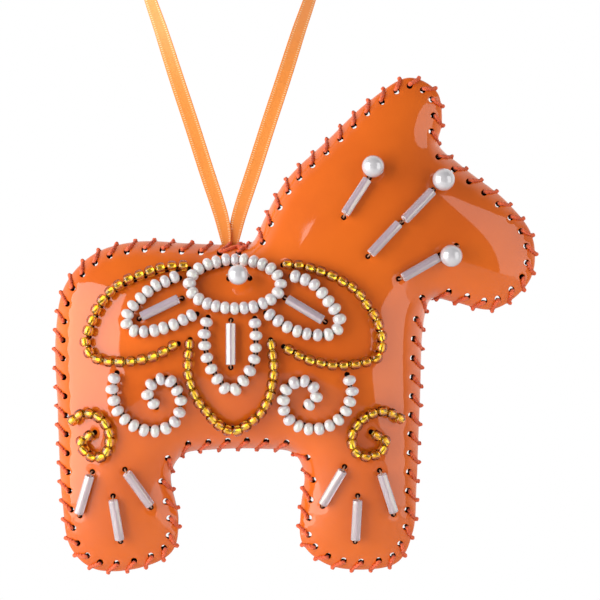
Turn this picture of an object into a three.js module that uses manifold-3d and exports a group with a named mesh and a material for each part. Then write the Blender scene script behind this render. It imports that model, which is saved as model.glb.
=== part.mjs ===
// A dala horse ornament: two patent-leather panels whip-stitched round a stuffing, hung on a satin ribbon.
//
// Millimetres, +Z up, +X towards the nose, the decorated panel faces -Y.
// Inside the horse's group the origin is where the ribbon enters the seam on the horse's back.
// The exported group's own origin is the hanging point, under the ribbon at the top of its loop.

import * as THREE from 'three';
import { mergeVertices } from 'three/addons/utils/BufferGeometryUtils.js';
import Module from 'manifold-3d';

const wasm = await Module();
wasm.setup();

// ---------------------------------------------------------------- driving dimensions

const horseLength = 104.8;      // rump to nose, without the stitches
const horseHeight = 108.1;      // hooves to ear tip
const touchGap = 0.3;           // what two pieces that touch keep between them

const leather = { thickness: 1.1, fullness: 0.86, rimStiffness: 3.0, rimSlope: 0.75 };
const rim = { holeInset: 1.9, holePitch: 4.15, holeSides: 4, threadClearance: 0.38 };
const stitchThread = { radius: 0.4, sides: 4, standOff: 0.3 };
const sewingThread = { radius: 0.2, sides: 3, reach: 1.3 };
const stuffing = { inset: 3.9, slack: 0.35 };

const creamBead = { diameter: 2.9, length: 2.2 };
const goldBead = { diameter: 2.3, length: 2.1 };
const beadWaist = 0.7;          // how narrow a string is between two beads, as a share of a bead
const bugle = { length: 9.0, diameter: 2.6, bore: 1.3 };
const pearl = { diameter: 4.9, bore: 1.0 };
const rosettePearl = { diameter: 4.5, lift: 2.1 };
const rosetteGap = 0.15;          // from the rosette's beads to the thread of the bugle under them

const ribbon = { width: 3.2, thickness: 0.4, loopHeight: 84.0, flatShare: 0.25, lengths: 56 };
const neck = { bottom: 1.65, top: 5.35, bottomWidth: 5.8, topWidth: 7.2, thickness: 0.8 };
const tails = { top: 0.35, length: 6.4, width: 4.2, thickness: 0.6 };

// How finely the shapes are faceted.
const facet = 6.0;              // pitch of the flat facets that make the puffed leather
const reliefPitch = 1.5;        // pitch of the grid that the puff is worked out on
const panelCorners = 132;       // corners of a panel's cut edge
const stuffingCorners = 84;
const traceCorners = 240;       // corners of the outline where only its inside is asked for
const beadSides = 5;
const bugleSides = 8;
const pearlSides = 10;
const pearlRings = 6;
const farSide = 40;             // well beyond the ornament, front and back

// ---------------------------------------------------------------- drawing of the horse

// The panel's edge, clockwise from the ribbon: mane, head, chest and legs.
const outlineDrawing = [
  [0.0, -0.3], [4.6, 0.0], [7.7, 5.7], [12.2, 13.6], [21.6, 22.8], [30.6, 31.2],
  [39.2, 36.2], [45.2, 33.2], [46.4, 26.5], [45.7, 21.6], [50.7, 16.9], [60.8, 8.8],
  [66.2, 1.2], [65.7, -7.9], [57.8, -14.4], [49.1, -12.9], [44.2, -12.2], [42.6, -16.0],
  [41.5, -36.3], [40.8, -53.6], [40.1, -62.8], [36.9, -69.6], [29.9, -71.4], [21.1, -70.2],
  [15.8, -65.5], [15.5, -58.1], [16.2, -50.3], [13.9, -46.0], [7.0, -45.0], [-4.0, -45.2],
  [-10.2, -46.2], [-12.9, -50.5], [-11.3, -60.5], [-12.6, -67.4], [-20.0, -71.1],
  [-29.8, -71.2], [-34.8, -66.6], [-36.6, -57.0], [-37.7, -36.0], [-38.1, -19.8],
  [-36.1, -9.3], [-29.8, -2.4], [-20.5, 0.3], [-8.0, -0.1],
];

// The oval of beads at the saddle, its lowest point, and the room under it before another bead's thread.
const rosette = [1.3, -9.0, 9.9, 5.3];
const rosetteFoot = rosette[1] - rosette[3];
const rosetteToThread = creamBead.diameter / 2 + rosetteGap;

// Strings of beads, each drawn through its beads' centres.
// An ellipse is [centre x, z, half width, half height].
const beadStrings = {
  gold_beads_rear_petal: {
    bead: goldBead,
    through: [[-10.0, -5.1], [-14.3, -5.4], [-18.9, -6.9], [-23.8, -9.1], [-27.7, -12.8], [-30.1, -17.6],
      [-31.0, -22.2], [-29.7, -24.6], [-25.9, -25.7], [-21.0, -25.7], [-16.3, -24.6], [-12.1, -22.4]],
  },
  gold_beads_front_petal: {
    bead: goldBead,
    through: [[12.6, -4.7], [16.8, -5.3], [21.1, -6.8], [26.4, -9.5], [29.9, -13.5], [32.3, -17.8],
      [33.0, -22.6], [31.9, -24.9], [27.3, -26.2], [22.0, -26.4], [17.2, -25.3], [12.9, -23.1]],
  },
  gold_beads_centre_petal: {
    bead: goldBead,
    through: [[-8.5, -22.0], [-8.8, -26.7], [-7.7, -32.1], [-5.1, -36.3], [-1.8, -39.8], [1.1, -41.0],
      [4.0, -39.4], [7.2, -36.4], [9.0, -32.1], [9.7, -27.5], [9.1, -22.1]],
  },
  gold_beads_rear_scroll: {
    bead: goldBead,
    through: [[-34.0, -38.4], [-31.6, -37.0], [-28.8, -37.5], [-26.7, -39.3], [-25.8, -42.4], [-26.7, -45.7],
      [-28.8, -46.6], [-31.2, -45.4], [-32.1, -43.2], [-30.4, -41.9]],
  },
  gold_beads_front_scroll: {
    bead: goldBead,
    through: [[37.0, -38.1], [35.1, -37.0], [32.6, -36.6], [30.0, -37.5], [27.9, -39.4], [26.5, -42.4],
      [27.7, -45.6], [30.6, -46.3], [33.0, -45.2], [33.9, -43.2], [31.9, -41.8]],
  },
  cream_beads_rosette: { bead: creamBead, ellipse: rosette },
  cream_beads_rear_petal: {
    bead: creamBead,
    through: [[-11.8, -7.5], [-16.1, -9.5], [-19.8, -12.7], [-22.2, -16.6], [-20.9, -18.9], [-16.8, -19.1],
      [-12.1, -17.8], [-8.0, -15.7]],
  },
  cream_beads_front_petal: {
    bead: creamBead,
    through: [[14.3, -7.4], [18.0, -8.9], [21.6, -12.8], [23.9, -17.2], [22.3, -19.5], [17.5, -19.8],
      [12.8, -18.3], [8.8, -15.7]],
  },
  cream_beads_centre_petal: {
    bead: creamBead,
    through: [[-4.8, -17.2], [-5.3, -20.7], [-4.7, -24.8], [-2.5, -29.4], [0.4, -32.2], [3.4, -29.5],
      [5.6, -24.9], [5.8, -20.9], [5.6, -17.5]],
  },
  cream_beads_rear_scroll: {
    bead: creamBead,
    through: [[-24.8, -29.4], [-25.2, -31.5], [-23.9, -36.6], [-19.8, -40.0], [-15.2, -40.7], [-11.5, -38.5],
      [-10.5, -33.9], [-12.9, -29.7], [-15.2, -29.5], [-17.6, -32.3], [-16.3, -34.9]],
  },
  cream_beads_front_scroll: {
    bead: creamBead,
    through: [[26.0, -29.8], [26.5, -32.1], [26.0, -34.8], [23.0, -38.8], [18.8, -40.3], [14.7, -39.6],
      [11.9, -36.2], [12.1, -32.3], [13.7, -30.4], [16.0, -29.8],
      [18.2, -31.2], [18.9, -33.4], [17.3, -35.0]],
  },
};

// Bugle beads: the middle of each and the way it lies, in degrees up from +X.
// One with below lies under its place instead, with that much room before its thread.
const bugles = {
  bugle_rear_petal: { at: [-14.9, -14.1], angle: 26 },
  bugle_centre_petal: { at: [0.4, rosetteFoot], angle: 90, below: rosetteToThread },
  bugle_front_petal: { at: [16.4, -14.5], angle: -31 },
  bugle_rear_hoof_outer: { at: [-31.5, -54.7], angle: 73 },
  bugle_rear_hoof_middle: { at: [-24.5, -60.2], angle: -81 },
  bugle_rear_hoof_inner: { at: [-19.7, -53.5], angle: -55 },
  bugle_front_hoof_inner: { at: [22.4, -53.1], angle: 60 },
  bugle_front_hoof_middle: { at: [27.6, -60.2], angle: 87 },
  bugle_front_hoof_outer: { at: [34.4, -54.4], angle: -72 },
  bugle_mane: { at: [27.5, 9.9], angle: 57 },
  bugle_bridle_upper: { at: [40.9, 8.0], angle: 46 },
  bugle_bridle_lower: { at: [33.6, 0.8], angle: 47 },
  bugle_jaw: { at: [41.4, -5.4], angle: 30 },
};

// Round pearls, each with the way its bore lies.
const pearls = {
  pearl_mane: { at: [31.1, 16.4], angle: 147, size: pearl, lift: 0 },
  pearl_brow: { at: [46.4, 13.6], angle: 136, size: pearl, lift: 0 },
  pearl_jaw: { at: [48.0, -2.9], angle: 120, size: pearl, lift: 0 },
  pearl_rosette: { at: [2.0, -7.0], angle: 0, size: rosettePearl, lift: rosettePearl.lift },
};

// ---------------------------------------------------------------- solids and booleans

const toSolid = (geometry) => {
  const bare = geometry.clone();
  bare.deleteAttribute('normal');
  bare.deleteAttribute('uv');
  const merged = mergeVertices(bare, 1e-4);
  const corners = merged.index.array;
  const triVerts = [];
  for (let i = 0; i < corners.length; i += 3) {
    const [a, b, c] = [corners[i], corners[i + 1], corners[i + 2]];
    if (a !== b && b !== c && c !== a) triVerts.push(a, b, c);
  }
  return new wasm.Manifold(new wasm.Mesh({
    numProp: 3,
    vertProperties: new Float32Array(merged.attributes.position.array),
    triVerts: new Uint32Array(triVerts),
  }));
};

const toGeometry = (solid) => {
  const { vertProperties, triVerts } = solid.getMesh();
  const geometry = new THREE.BufferGeometry();
  geometry.setAttribute('position', new THREE.BufferAttribute(vertProperties, 3));
  geometry.setIndex(new THREE.BufferAttribute(triVerts, 1));
  return geometry.toNonIndexed();
};

const named = (name, geometry, material) => {
  geometry.computeVertexNormals();
  const mesh = new THREE.Mesh(geometry, material);
  mesh.name = name;
  return mesh;
};

// ---------------------------------------------------------------- the outline at its set size

const extentOf = (points, axis) => {
  const values = points.map((p) => p[axis]);
  return Math.max(...values) - Math.min(...values);
};
const scaleX = horseLength / extentOf(outlineDrawing, 0);
const scaleZ = horseHeight / extentOf(outlineDrawing, 1);
const onHorse = ([x, z]) => new THREE.Vector3(x * scaleX, 0, z * scaleZ);

const outline = new THREE.CatmullRomCurve3(outlineDrawing.map(onHorse), true, 'centripetal');
outline.arcLengthDivisions = 5 * traceCorners;
const rimLength = outline.getLength();

// A place on the outline at a length along it, moved outwards (or inwards, when negative).
const rimPoint = (along, outwards) => {
  const u = ((along / rimLength) % 1 + 1) % 1;
  const tangent = outline.getTangentAt(u);
  const outward = new THREE.Vector3(-tangent.z, 0, tangent.x);
  return outline.getPointAt(u).addScaledVector(outward, outwards);
};

const outlinePoints = (inset, count) =>
  Array.from({ length: count }, (_, i) => rimPoint((i / count) * rimLength, -inset));
const tracedOutline = outlinePoints(0, traceCorners);

// A straight-sided block of the outline, through the whole thickness of the horse.
const outlineBlock = (inset, count, depth) => {
  const corners = outlinePoints(inset, count).map((p) => new THREE.Vector2(p.x, p.z));
  const shape = new THREE.Shape(corners);
  const block = new THREE.ExtrudeGeometry(shape, { depth: depth * 2, bevelEnabled: false, steps: 1 });
  return toSolid(block.translate(0, 0, -depth).rotateX(Math.PI / 2));
};

// ---------------------------------------------------------------- the puffed relief

const isInside = (polygon, x, z) => {
  let inside = false;
  for (let i = 0, j = polygon.length - 1; i < polygon.length; j = i, i += 1) {
    const [a, b] = [polygon[i], polygon[j]];
    const crosses = (a.z > z) !== (b.z > z);
    if (crosses && x < ((b.x - a.x) * (z - a.z)) / (b.z - a.z) + a.x) inside = !inside;
  }
  return inside;
};

// Heights on a square grid over the horse, read between the grid's points.
class Relief {
  constructor(pitch, low, high) {
    this.pitch = pitch;
    this.low = low;
    this.columns = Math.ceil((high.x - low.x) / pitch) + 1;
    this.rows = Math.ceil((high.z - low.z) / pitch) + 1;
    this.height = new Float64Array(this.columns * this.rows);
  }

  at(column, row) {
    const c = Math.min(Math.max(column, 0), this.columns - 1);
    const r = Math.min(Math.max(row, 0), this.rows - 1);
    return this.height[r * this.columns + c];
  }

  // The higher of the two ways that a square facet can be folded, so that nothing set on it cuts in.
  read(x, z) {
    const across = (x - this.low.x) / this.pitch;
    const up = (z - this.low.z) / this.pitch;
    const [c, r] = [Math.floor(across), Math.floor(up)];
    const [s, t] = [across - c, up - r];
    const [near, right] = [this.at(c, r), this.at(c + 1, r)];
    const [above, far] = [this.at(c, r + 1), this.at(c + 1, r + 1)];
    const rising = s > t
      ? near + (right - near) * s + (far - right) * t
      : near + (far - above) * s + (above - near) * t;
    const falling = s + t < 1
      ? near + (right - near) * s + (above - near) * t
      : far + (above - far) * (1 - s) + (right - far) * (1 - t);
    return Math.max(rising, falling);
  }
}

const box = new THREE.Box3().setFromPoints(tracedOutline).expandByScalar(facet);

// A stretched skin under even pressure (its Poisson height), rooted so that legs and body
// share their fullness.
const puffedRelief = () => {
  const relief = new Relief(reliefPitch, box.min, box.max);
  const { columns, rows } = relief;
  const free = new Uint8Array(columns * rows);
  for (let r = 0; r < rows; r += 1) {
    for (let c = 0; c < columns; c += 1) {
      const x = box.min.x + c * reliefPitch;
      const z = box.min.z + r * reliefPitch;
      free[r * columns + c] = isInside(tracedOutline, x, z) ? 1 : 0;
    }
  }
  const skin = new Float64Array(columns * rows);
  const sweeps = 260;
  const overRelax = 1.86;
  for (let sweep = 0; sweep < sweeps; sweep += 1) {
    for (let i = columns; i < skin.length - columns; i += 1) {
      if (!free[i]) continue;
      const beside = skin[i - 1] + skin[i + 1];
      const aboveAndBelow = skin[i - columns] + skin[i + columns];
      const level = (beside + aboveAndBelow + reliefPitch ** 2) / 4;
      skin[i] += overRelax * (level - skin[i]);
    }
  }
  const { fullness, rimStiffness } = leather;
  skin.forEach((u, i) => {
    relief.height[i] = fullness * (Math.sqrt(u + rimStiffness ** 2) - rimStiffness);
  });
  return relief;
};

// The same relief as the flat facets of the leather show it. Outside the outline it falls on below zero, so
// that the facets that the outline cuts come down to the seam there.
const facetedRelief = (fine) => {
  const relief = new Relief(facet, box.min, box.max);
  for (let r = 0; r < relief.rows; r += 1) {
    for (let c = 0; c < relief.columns; c += 1) {
      const [x, z] = [box.min.x + c * facet, box.min.z + r * facet];
      const away = Math.min(...tracedOutline.map((p) => Math.hypot(p.x - x, p.z - z)));
      const inside = isInside(tracedOutline, x, z);
      relief.height[r * relief.columns + c] = inside ? fine.read(x, z) : -leather.rimSlope * away;
    }
  }
  return relief;
};

const relief = facetedRelief(puffedRelief());
const innerFace = (x, z) => touchGap / 2 + relief.read(x, z);
const outerFace = (x, z) => innerFace(x, z) + leather.thickness;

// A slab over the whole relief: its low side at low(x, z) and its high side at high(x, z), along +Y.
const reliefSlab = (low, high) => {
  const [spanX, spanZ] = [(relief.columns - 1) * facet, (relief.rows - 1) * facet];
  const slab = new THREE.BoxGeometry(spanX, 2, spanZ, relief.columns - 1, 1, relief.rows - 1);
  slab.translate(box.min.x + spanX / 2, 0, box.min.z + spanZ / 2);
  const position = slab.attributes.position;
  for (let i = 0; i < position.count; i += 1) {
    const [x, z] = [position.getX(i), position.getZ(i)];
    position.setY(i, position.getY(i) > 0 ? high(x, z) : low(x, z));
  }
  return toSolid(slab);
};

// ---------------------------------------------------------------- panels, stuffing and rim stitching

const stitchCount = Math.round(rimLength / rim.holePitch);
const stitchPitch = rimLength / stitchCount;
const holeRadius = stitchThread.radius + rim.threadClearance;
const stitchAlong = (i) => (i + 0.5) * stitchPitch;
const holeAt = (i) => rimPoint(stitchAlong(i), -rim.holeInset);

const rimPunches = (wider = 0) => {
  const radius = holeRadius + wider;
  const punches = Array.from({ length: stitchCount }, (_, i) => {
    const place = holeAt(i);
    const punch = new THREE.CylinderGeometry(radius, radius, 2 * farSide, rim.holeSides);
    return toSolid(punch.translate(place.x, 0, place.z));
  });
  return wasm.Manifold.union(punches);
};

const tailsBlock = (clearance) => toSolid(new THREE.BoxGeometry(
  tails.width + 2 * clearance,
  tails.thickness + 2 * clearance,
  tails.length + 2 * clearance,
).translate(0, 0, tails.top - tails.length / 2));

// One panel: its slab of leather cut to the outline, kept on its own side of the seam and punched.
const panelSolid = (side) => {
  const slab = side < 0
    ? reliefSlab((x, z) => -outerFace(x, z), (x, z) => -innerFace(x, z))
    : reliefSlab(innerFace, outerFace);
  const otherSide = new THREE.BoxGeometry(4 * horseLength, farSide, 4 * horseHeight);
  otherSide.translate(0, (side * (touchGap - farSide)) / 2, 0);
  return slab.intersect(outlineBlock(0, panelCorners, farSide))
    .subtract(toSolid(otherSide))
    .subtract(rimPunches())
    .subtract(tailsBlock(touchGap));
};

// What is left of the outline's block between the two panels' inner faces.
const stuffingSolid = () => {
  const surface = (x, z) => innerFace(x, z) - stuffing.slack;
  return outlineBlock(stuffing.inset, stuffingCorners, farSide / 2)
    .subtract(reliefSlab(() => -farSide, (x, z) => -surface(x, z)))
    .subtract(reliefSlab(surface, () => farSide))
    .subtract(rimPunches(touchGap))
    .subtract(tailsBlock(touchGap));
};

// A curve whose points are met exactly, for paths with corners.
class CornerPath extends THREE.Curve {
  constructor(points) {
    super();
    this.points = points;
  }

  getPoint(t, target = new THREE.Vector3()) {
    const place = t * (this.points.length - 1);
    const i = Math.min(Math.floor(place), this.points.length - 2);
    return target.lerpVectors(this.points[i], this.points[i + 1], place - i);
  }

  getPointAt(u, target) {
    return this.getPoint(u, target);
  }

  getTangentAt(u, target) {
    return this.getTangent(u, target);
  }

  getTangent(t, target = new THREE.Vector3()) {
    const step = 0.5 / (this.points.length - 1);
    const before = this.getPoint(Math.max(t - step, 0));
    return target.subVectors(this.getPoint(Math.min(t + step, 1)), before).normalize();
  }
}

const polygonShape = (radius, sides) => new THREE.Shape(Array.from({ length: sides }, (_, i) => {
  const angle = (i / sides) * 2 * Math.PI;
  return new THREE.Vector2(radius * Math.cos(angle), radius * Math.sin(angle));
}));

const threadAlong = (points, { radius, sides }) => new THREE.ExtrudeGeometry(polygonShape(radius, sides), {
  steps: points.length - 1,
  bevelEnabled: false,
  extrudePath: new CornerPath(points),
});

// How far from the seam plane a stitch passes over the leather, farther where the leather leans.
const stitchHeight = ({ x, z }, clear) => {
  const { outward } = skinAt(x, z);
  return outerFace(x, z) - clear / outward.y;
};

// Whip stitch: out of each hole, over the edge half a pitch on, down the back and through the next hole.
const rimStitching = () => {
  const clear = stitchThread.radius + stitchThread.standOff;
  const path = [];
  for (let i = 0; i < stitchCount; i += 1) {
    const hole = holeAt(i);
    const holeFace = stitchHeight(hole, clear);
    path.push(new THREE.Vector3(hole.x, holeFace, hole.z), new THREE.Vector3(hole.x, -holeFace, hole.z));
    if (i === stitchCount - 1) break;
    const edge = rimPoint(stitchAlong(i) + stitchPitch / 2, 0);
    const over = rimPoint(stitchAlong(i) + stitchPitch / 2, clear);
    const overFace = stitchHeight(edge, clear);
    path.push(new THREE.Vector3(over.x, -overFace, over.z), new THREE.Vector3(over.x, overFace, over.z));
  }
  return threadAlong(path, stitchThread);
};

// ---------------------------------------------------------------- beads

const front = new THREE.Vector3(0, -1, 0);

// The leather's front face at a place on the horse, with the way out of it.
const skinAt = (x, z) => {
  const reach = 2.0;
  const slopeX = (outerFace(x + reach, z) - outerFace(x - reach, z)) / (2 * reach);
  const slopeZ = (outerFace(x, z + reach) - outerFace(x, z - reach)) / (2 * reach);
  const outward = new THREE.Vector3(-slopeX, -1, -slopeZ).normalize();
  return { point: new THREE.Vector3(x, -outerFace(x, z), z), outward };
};

// Where the middle of a round thing rests, seen from the front at (x, z).
const restingAt = (x, z, radius) => {
  const { outward } = skinAt(x, z);
  const lean = 1 / -outward.y;
  return new THREE.Vector3(x, -outerFace(x, z) - (radius + touchGap) * lean, z);
};

const flatRoute = ({ through, ellipse }) => {
  if (!ellipse) return new THREE.CatmullRomCurve3(through.map(onHorse), false, 'centripetal');
  const [x, z, halfWidth, halfHeight] = ellipse;
  const corners = 16;
  const around = Array.from({ length: corners }, (_, i) => {
    const angle = (i / corners + 0.25) * 2 * Math.PI;
    return onHorse([x + halfWidth * Math.cos(angle), z + halfHeight * Math.sin(angle)]);
  });
  return new THREE.CatmullRomCurve3(around, true, 'centripetal');
};

// The string's middle line where it lies on the leather, a point for every half bead.
const sewnRoute = (string) => {
  const flat = flatRoute(string);
  const halves = Math.round(flat.getLength() / string.bead.length) * 2;
  const lifted = flat.getSpacedPoints(halves).map((p) => restingAt(p.x, p.z, string.bead.diameter / 2));
  return new THREE.CatmullRomCurve3(lifted, false, 'centripetal');
};

// Bends a solid that stands along +Z from 0 to 1 so that it follows a curve, turned by twist(u) about it.
const bentAlong = (geometry, curve, twist) => {
  const position = geometry.attributes.position;
  const length = curve.getLength();
  for (let i = 0; i < position.count; i += 1) {
    const vertex = new THREE.Vector3().fromBufferAttribute(position, i);
    const u = Math.min(Math.max(vertex.z, 0), 1);
    const tangent = curve.getTangentAt(u);
    const across = new THREE.Vector3().crossVectors(tangent, front).normalize();
    const inward = new THREE.Vector3().crossVectors(tangent, across);
    const turn = twist(u);
    const place = curve.getPointAt(u)
      .addScaledVector(tangent, (vertex.z - u) * length)
      .addScaledVector(across, vertex.x * Math.cos(turn) - vertex.y * Math.sin(turn))
      .addScaledVector(inward, vertex.x * Math.sin(turn) + vertex.y * Math.cos(turn));
    position.setXYZ(i, place.x, place.y, place.z);
  }
  return geometry;
};

// One closed solid of beads in a row: full at each bead's middle, narrow where two beads meet.
const beadString = (string) => {
  const route = sewnRoute(string);
  const radius = string.bead.diameter / 2;
  const waist = radius * beadWaist;
  const spans = Math.round(route.getLength() / string.bead.length);
  const beads = string.ellipse ? spans : spans + 1;
  const start = string.ellipse ? touchGap / route.getLength() / 2 : -0.5 / spans;
  const pitch = (1 - 2 * start) / beads;
  const profile = [new THREE.Vector2(0, start), new THREE.Vector2(waist, start)];
  for (let i = 0; i < beads; i += 1) {
    profile.push(new THREE.Vector2(radius, start + (i + 0.5) * pitch));
    profile.push(new THREE.Vector2(waist, start + (i + 1) * pitch));
  }
  profile.push(new THREE.Vector2(0, start + beads * pitch));
  const straight = new THREE.LatheGeometry(profile, beadSides).rotateX(Math.PI / 2);
  return toGeometry(toSolid(bentAlong(straight, route, () => 0)));
};

// A bead on its own with a bore through it along Y: a bugle, or a round pearl.
const bugleShape = ({ length, diameter, bore }) => new THREE.LatheGeometry([
  new THREE.Vector2(bore / 2, -length / 2),
  new THREE.Vector2(diameter / 2, -length / 2),
  new THREE.Vector2(diameter / 2, length / 2),
  new THREE.Vector2(bore / 2, length / 2),
  new THREE.Vector2(bore / 2, -length / 2),
], bugleSides);

const pearlShape = (diameter, bore) => {
  const mouth = Math.asin(bore / diameter);
  const profile = Array.from({ length: pearlRings + 1 }, (_, i) => {
    const angle = -Math.PI / 2 + mouth + (i / pearlRings) * (Math.PI - 2 * mouth);
    return new THREE.Vector2((diameter / 2) * Math.cos(angle), (diameter / 2) * Math.sin(angle));
  });
  return new THREE.LatheGeometry([...profile, profile[0].clone()], pearlSides);
};

// Where a bead sewn down by itself lies, and which way its bore runs, clear of the leather
// along its whole length.
const seatOf = ({ at, angle, lift = 0, below }, radius, halfLength) => {
  const middle = onHorse(at);
  if (below !== undefined) middle.z -= below + sewingThread.radius + sewingThread.reach + halfLength;
  const way = new THREE.Vector3(Math.cos(angle * Math.PI / 180), 0, Math.sin(angle * Math.PI / 180));
  const faceAt = (along) => outerFace(middle.x + way.x * along, middle.z + way.z * along);
  const near = Math.min(2.0, halfLength);
  const slope = (faceAt(near) - faceAt(-near)) / (2 * near);
  const stations = [-1, -0.66, -0.33, 0, 0.33, 0.66, 1].map((share) => share * halfLength);
  const proud = Math.max(...stations.map((along) => faceAt(along) - slope * along));
  const { outward } = skinAt(middle.x, middle.z);
  middle.y = -proud - (radius + touchGap) / -outward.y - lift;
  return { middle, bore: way.setY(-slope).normalize() };
};

// Thread that comes out of the leather, through the bead's bore and back down to the leather.
const sewingThrough = ({ middle, bore }, halfLength) => {
  const mouth = halfLength + touchGap;
  const reach = halfLength + sewingThread.reach;
  const foot = (sign) => {
    const place = middle.clone().addScaledVector(bore, sign * reach);
    return place.setY(-outerFace(place.x, place.z) - sewingThread.radius - touchGap);
  };
  return threadAlong([
    foot(-1),
    middle.clone().addScaledVector(bore, -mouth),
    middle.clone().addScaledVector(bore, mouth),
    foot(1),
  ], sewingThread);
};

const seated = (name, geometry, material, { middle, bore }) => {
  const mesh = named(name, geometry, material);
  mesh.position.copy(middle);
  mesh.quaternion.setFromUnitVectors(new THREE.Vector3(0, 1, 0), bore);
  return mesh;
};

// ---------------------------------------------------------------- ribbon

// One side of the loop, from the gathered neck up to the top; the other side mirrors it.
const ribbonSide = [
  [2.0, 6.2], [5.2, 16.0], [8.4, 26.0], [11.7, 36.0], [14.9, 46.0], [18.8, 58.1],
  [19.7, 66.3], [17.2, 74.1], [11.6, 80.2], [5.1, 83.3],
];
const ribbonRoute = new THREE.CatmullRomCurve3([
  ...ribbonSide.map(([x, z]) => new THREE.Vector3(-x, 0, z)),
  new THREE.Vector3(0, 0, ribbon.loopHeight),
  ...ribbonSide.map(([x, z]) => new THREE.Vector3(x, 0, z)).reverse(),
], false, 'centripetal');

// The satin faces forward over the first share of each side, then turns to lie flat over
// its hook at the top.
const ribbonLoop = () => {
  const strip = new THREE.BoxGeometry(ribbon.width, ribbon.thickness, 1, 1, 1, ribbon.lengths);
  strip.translate(0, 0, 0.5);
  const raised = (u) => 2 * Math.min(u, 1 - u);
  const twist = (u) => (Math.PI / 2) * THREE.MathUtils.smoothstep(raised(u), ribbon.flatShare, 1);
  return bentAlong(strip, ribbonRoute, twist);
};

const ribbonNeck = () => {
  const shape = new THREE.Shape([
    new THREE.Vector2(-neck.bottomWidth / 2, neck.bottom),
    new THREE.Vector2(neck.bottomWidth / 2, neck.bottom),
    new THREE.Vector2(neck.topWidth / 2, neck.top),
    new THREE.Vector2(-neck.topWidth / 2, neck.top),
  ]);
  const block = new THREE.ExtrudeGeometry(shape, { depth: neck.thickness, bevelEnabled: false });
  return block.translate(0, 0, -neck.thickness / 2).rotateX(Math.PI / 2);
};

// ---------------------------------------------------------------- materials and assembly

const finish = (color, roughness) => new THREE.MeshStandardMaterial({ color, roughness });
const materials = {
  patentLeather: finish(0xe2661e, 0.15),
  stuffing: finish(0x40251f, 0.95),
  rimThread: finish(0xcd552d, 0.7),
  sewingThread: finish(0xf0e6dc, 0.6),
  satin: finish(0xffa346, 0.45),
  goldGlass: finish(0xd88a14, 0.15),
  creamPearl: finish(0xf3ece2, 0.25),
  lilacGlass: finish(0xe6d3df, 0.12),
  whitePearl: finish(0xf1edee, 0.2),
};

const horse = new THREE.Group();
horse.position.z = -(ribbon.loopHeight - ribbon.thickness / 2);
horse.add(
  named('front_panel', toGeometry(panelSolid(-1)), materials.patentLeather),
  named('back_panel', toGeometry(panelSolid(1)), materials.patentLeather),
  named('stuffing', toGeometry(stuffingSolid()), materials.stuffing),
  named('rim_stitching', rimStitching(), materials.rimThread),
  named('ribbon_loop', ribbonLoop(), materials.satin),
  named('ribbon_neck', ribbonNeck(), materials.satin),
  named('ribbon_tails', toGeometry(tailsBlock(0).subtract(rimPunches())), materials.satin),
);

Object.entries(beadStrings).forEach(([name, string]) => {
  const material = string.bead === goldBead ? materials.goldGlass : materials.creamPearl;
  horse.add(named(name, beadString(string), material));
});

Object.entries(bugles).forEach(([name, placed]) => {
  const seat = seatOf(placed, bugle.diameter / 2, bugle.length / 2);
  horse.add(
    seated(name, bugleShape(bugle), materials.lilacGlass, seat),
    named(`thread_${name}`, sewingThrough(seat, bugle.length / 2), materials.sewingThread),
  );
});

Object.entries(pearls).forEach(([name, placed]) => {
  const { diameter } = placed.size;
  const seat = seatOf(placed, diameter / 2, diameter / 2);
  horse.add(
    seated(name, pearlShape(diameter, pearl.bore), materials.whitePearl, seat),
    named(`thread_${name}`, sewingThrough(seat, diameter / 2), materials.sewingThread),
  );
});

const ornament = new THREE.Group();
ornament.add(horse);

export default ornament;
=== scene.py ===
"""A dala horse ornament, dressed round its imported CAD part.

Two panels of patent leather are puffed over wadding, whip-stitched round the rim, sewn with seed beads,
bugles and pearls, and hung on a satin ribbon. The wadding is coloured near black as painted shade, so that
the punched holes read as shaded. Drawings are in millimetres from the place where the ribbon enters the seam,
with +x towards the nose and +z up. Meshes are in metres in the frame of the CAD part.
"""

from __future__ import annotations

import copy
import logging
import math
from dataclasses import dataclass, field
from enum import Enum

import bpy
import numpy as np
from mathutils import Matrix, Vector
from mathutils.geometry import delaunay_2d_cdt

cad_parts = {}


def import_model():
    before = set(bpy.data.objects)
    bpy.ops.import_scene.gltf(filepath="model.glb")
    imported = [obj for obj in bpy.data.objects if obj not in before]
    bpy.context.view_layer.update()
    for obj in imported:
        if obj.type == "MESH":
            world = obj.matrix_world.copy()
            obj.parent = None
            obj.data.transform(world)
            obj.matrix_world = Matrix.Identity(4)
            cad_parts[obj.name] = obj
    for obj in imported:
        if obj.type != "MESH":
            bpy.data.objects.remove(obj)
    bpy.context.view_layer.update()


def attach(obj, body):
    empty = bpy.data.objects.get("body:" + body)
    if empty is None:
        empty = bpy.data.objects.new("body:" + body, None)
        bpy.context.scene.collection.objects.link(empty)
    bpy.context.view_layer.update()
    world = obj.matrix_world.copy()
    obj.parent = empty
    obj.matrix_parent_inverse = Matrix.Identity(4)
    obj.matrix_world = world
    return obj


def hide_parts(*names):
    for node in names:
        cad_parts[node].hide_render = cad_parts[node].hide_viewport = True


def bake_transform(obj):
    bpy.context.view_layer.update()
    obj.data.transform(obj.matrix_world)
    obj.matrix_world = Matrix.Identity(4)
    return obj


LOG = logging.getLogger("dala_horse")
Array = np.ndarray
Colour = tuple[float, float, float]

MM = 0.001
BATCH = 3000  # points measured against many others at a time
HANG = 83.8  # from the hanging point down to where the ribbon enters the seam
HORSE_LENGTH = 104.8
HORSE_HEIGHT = 108.1

# ------------------------------------------------------------------ the drawing of the horse

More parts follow.
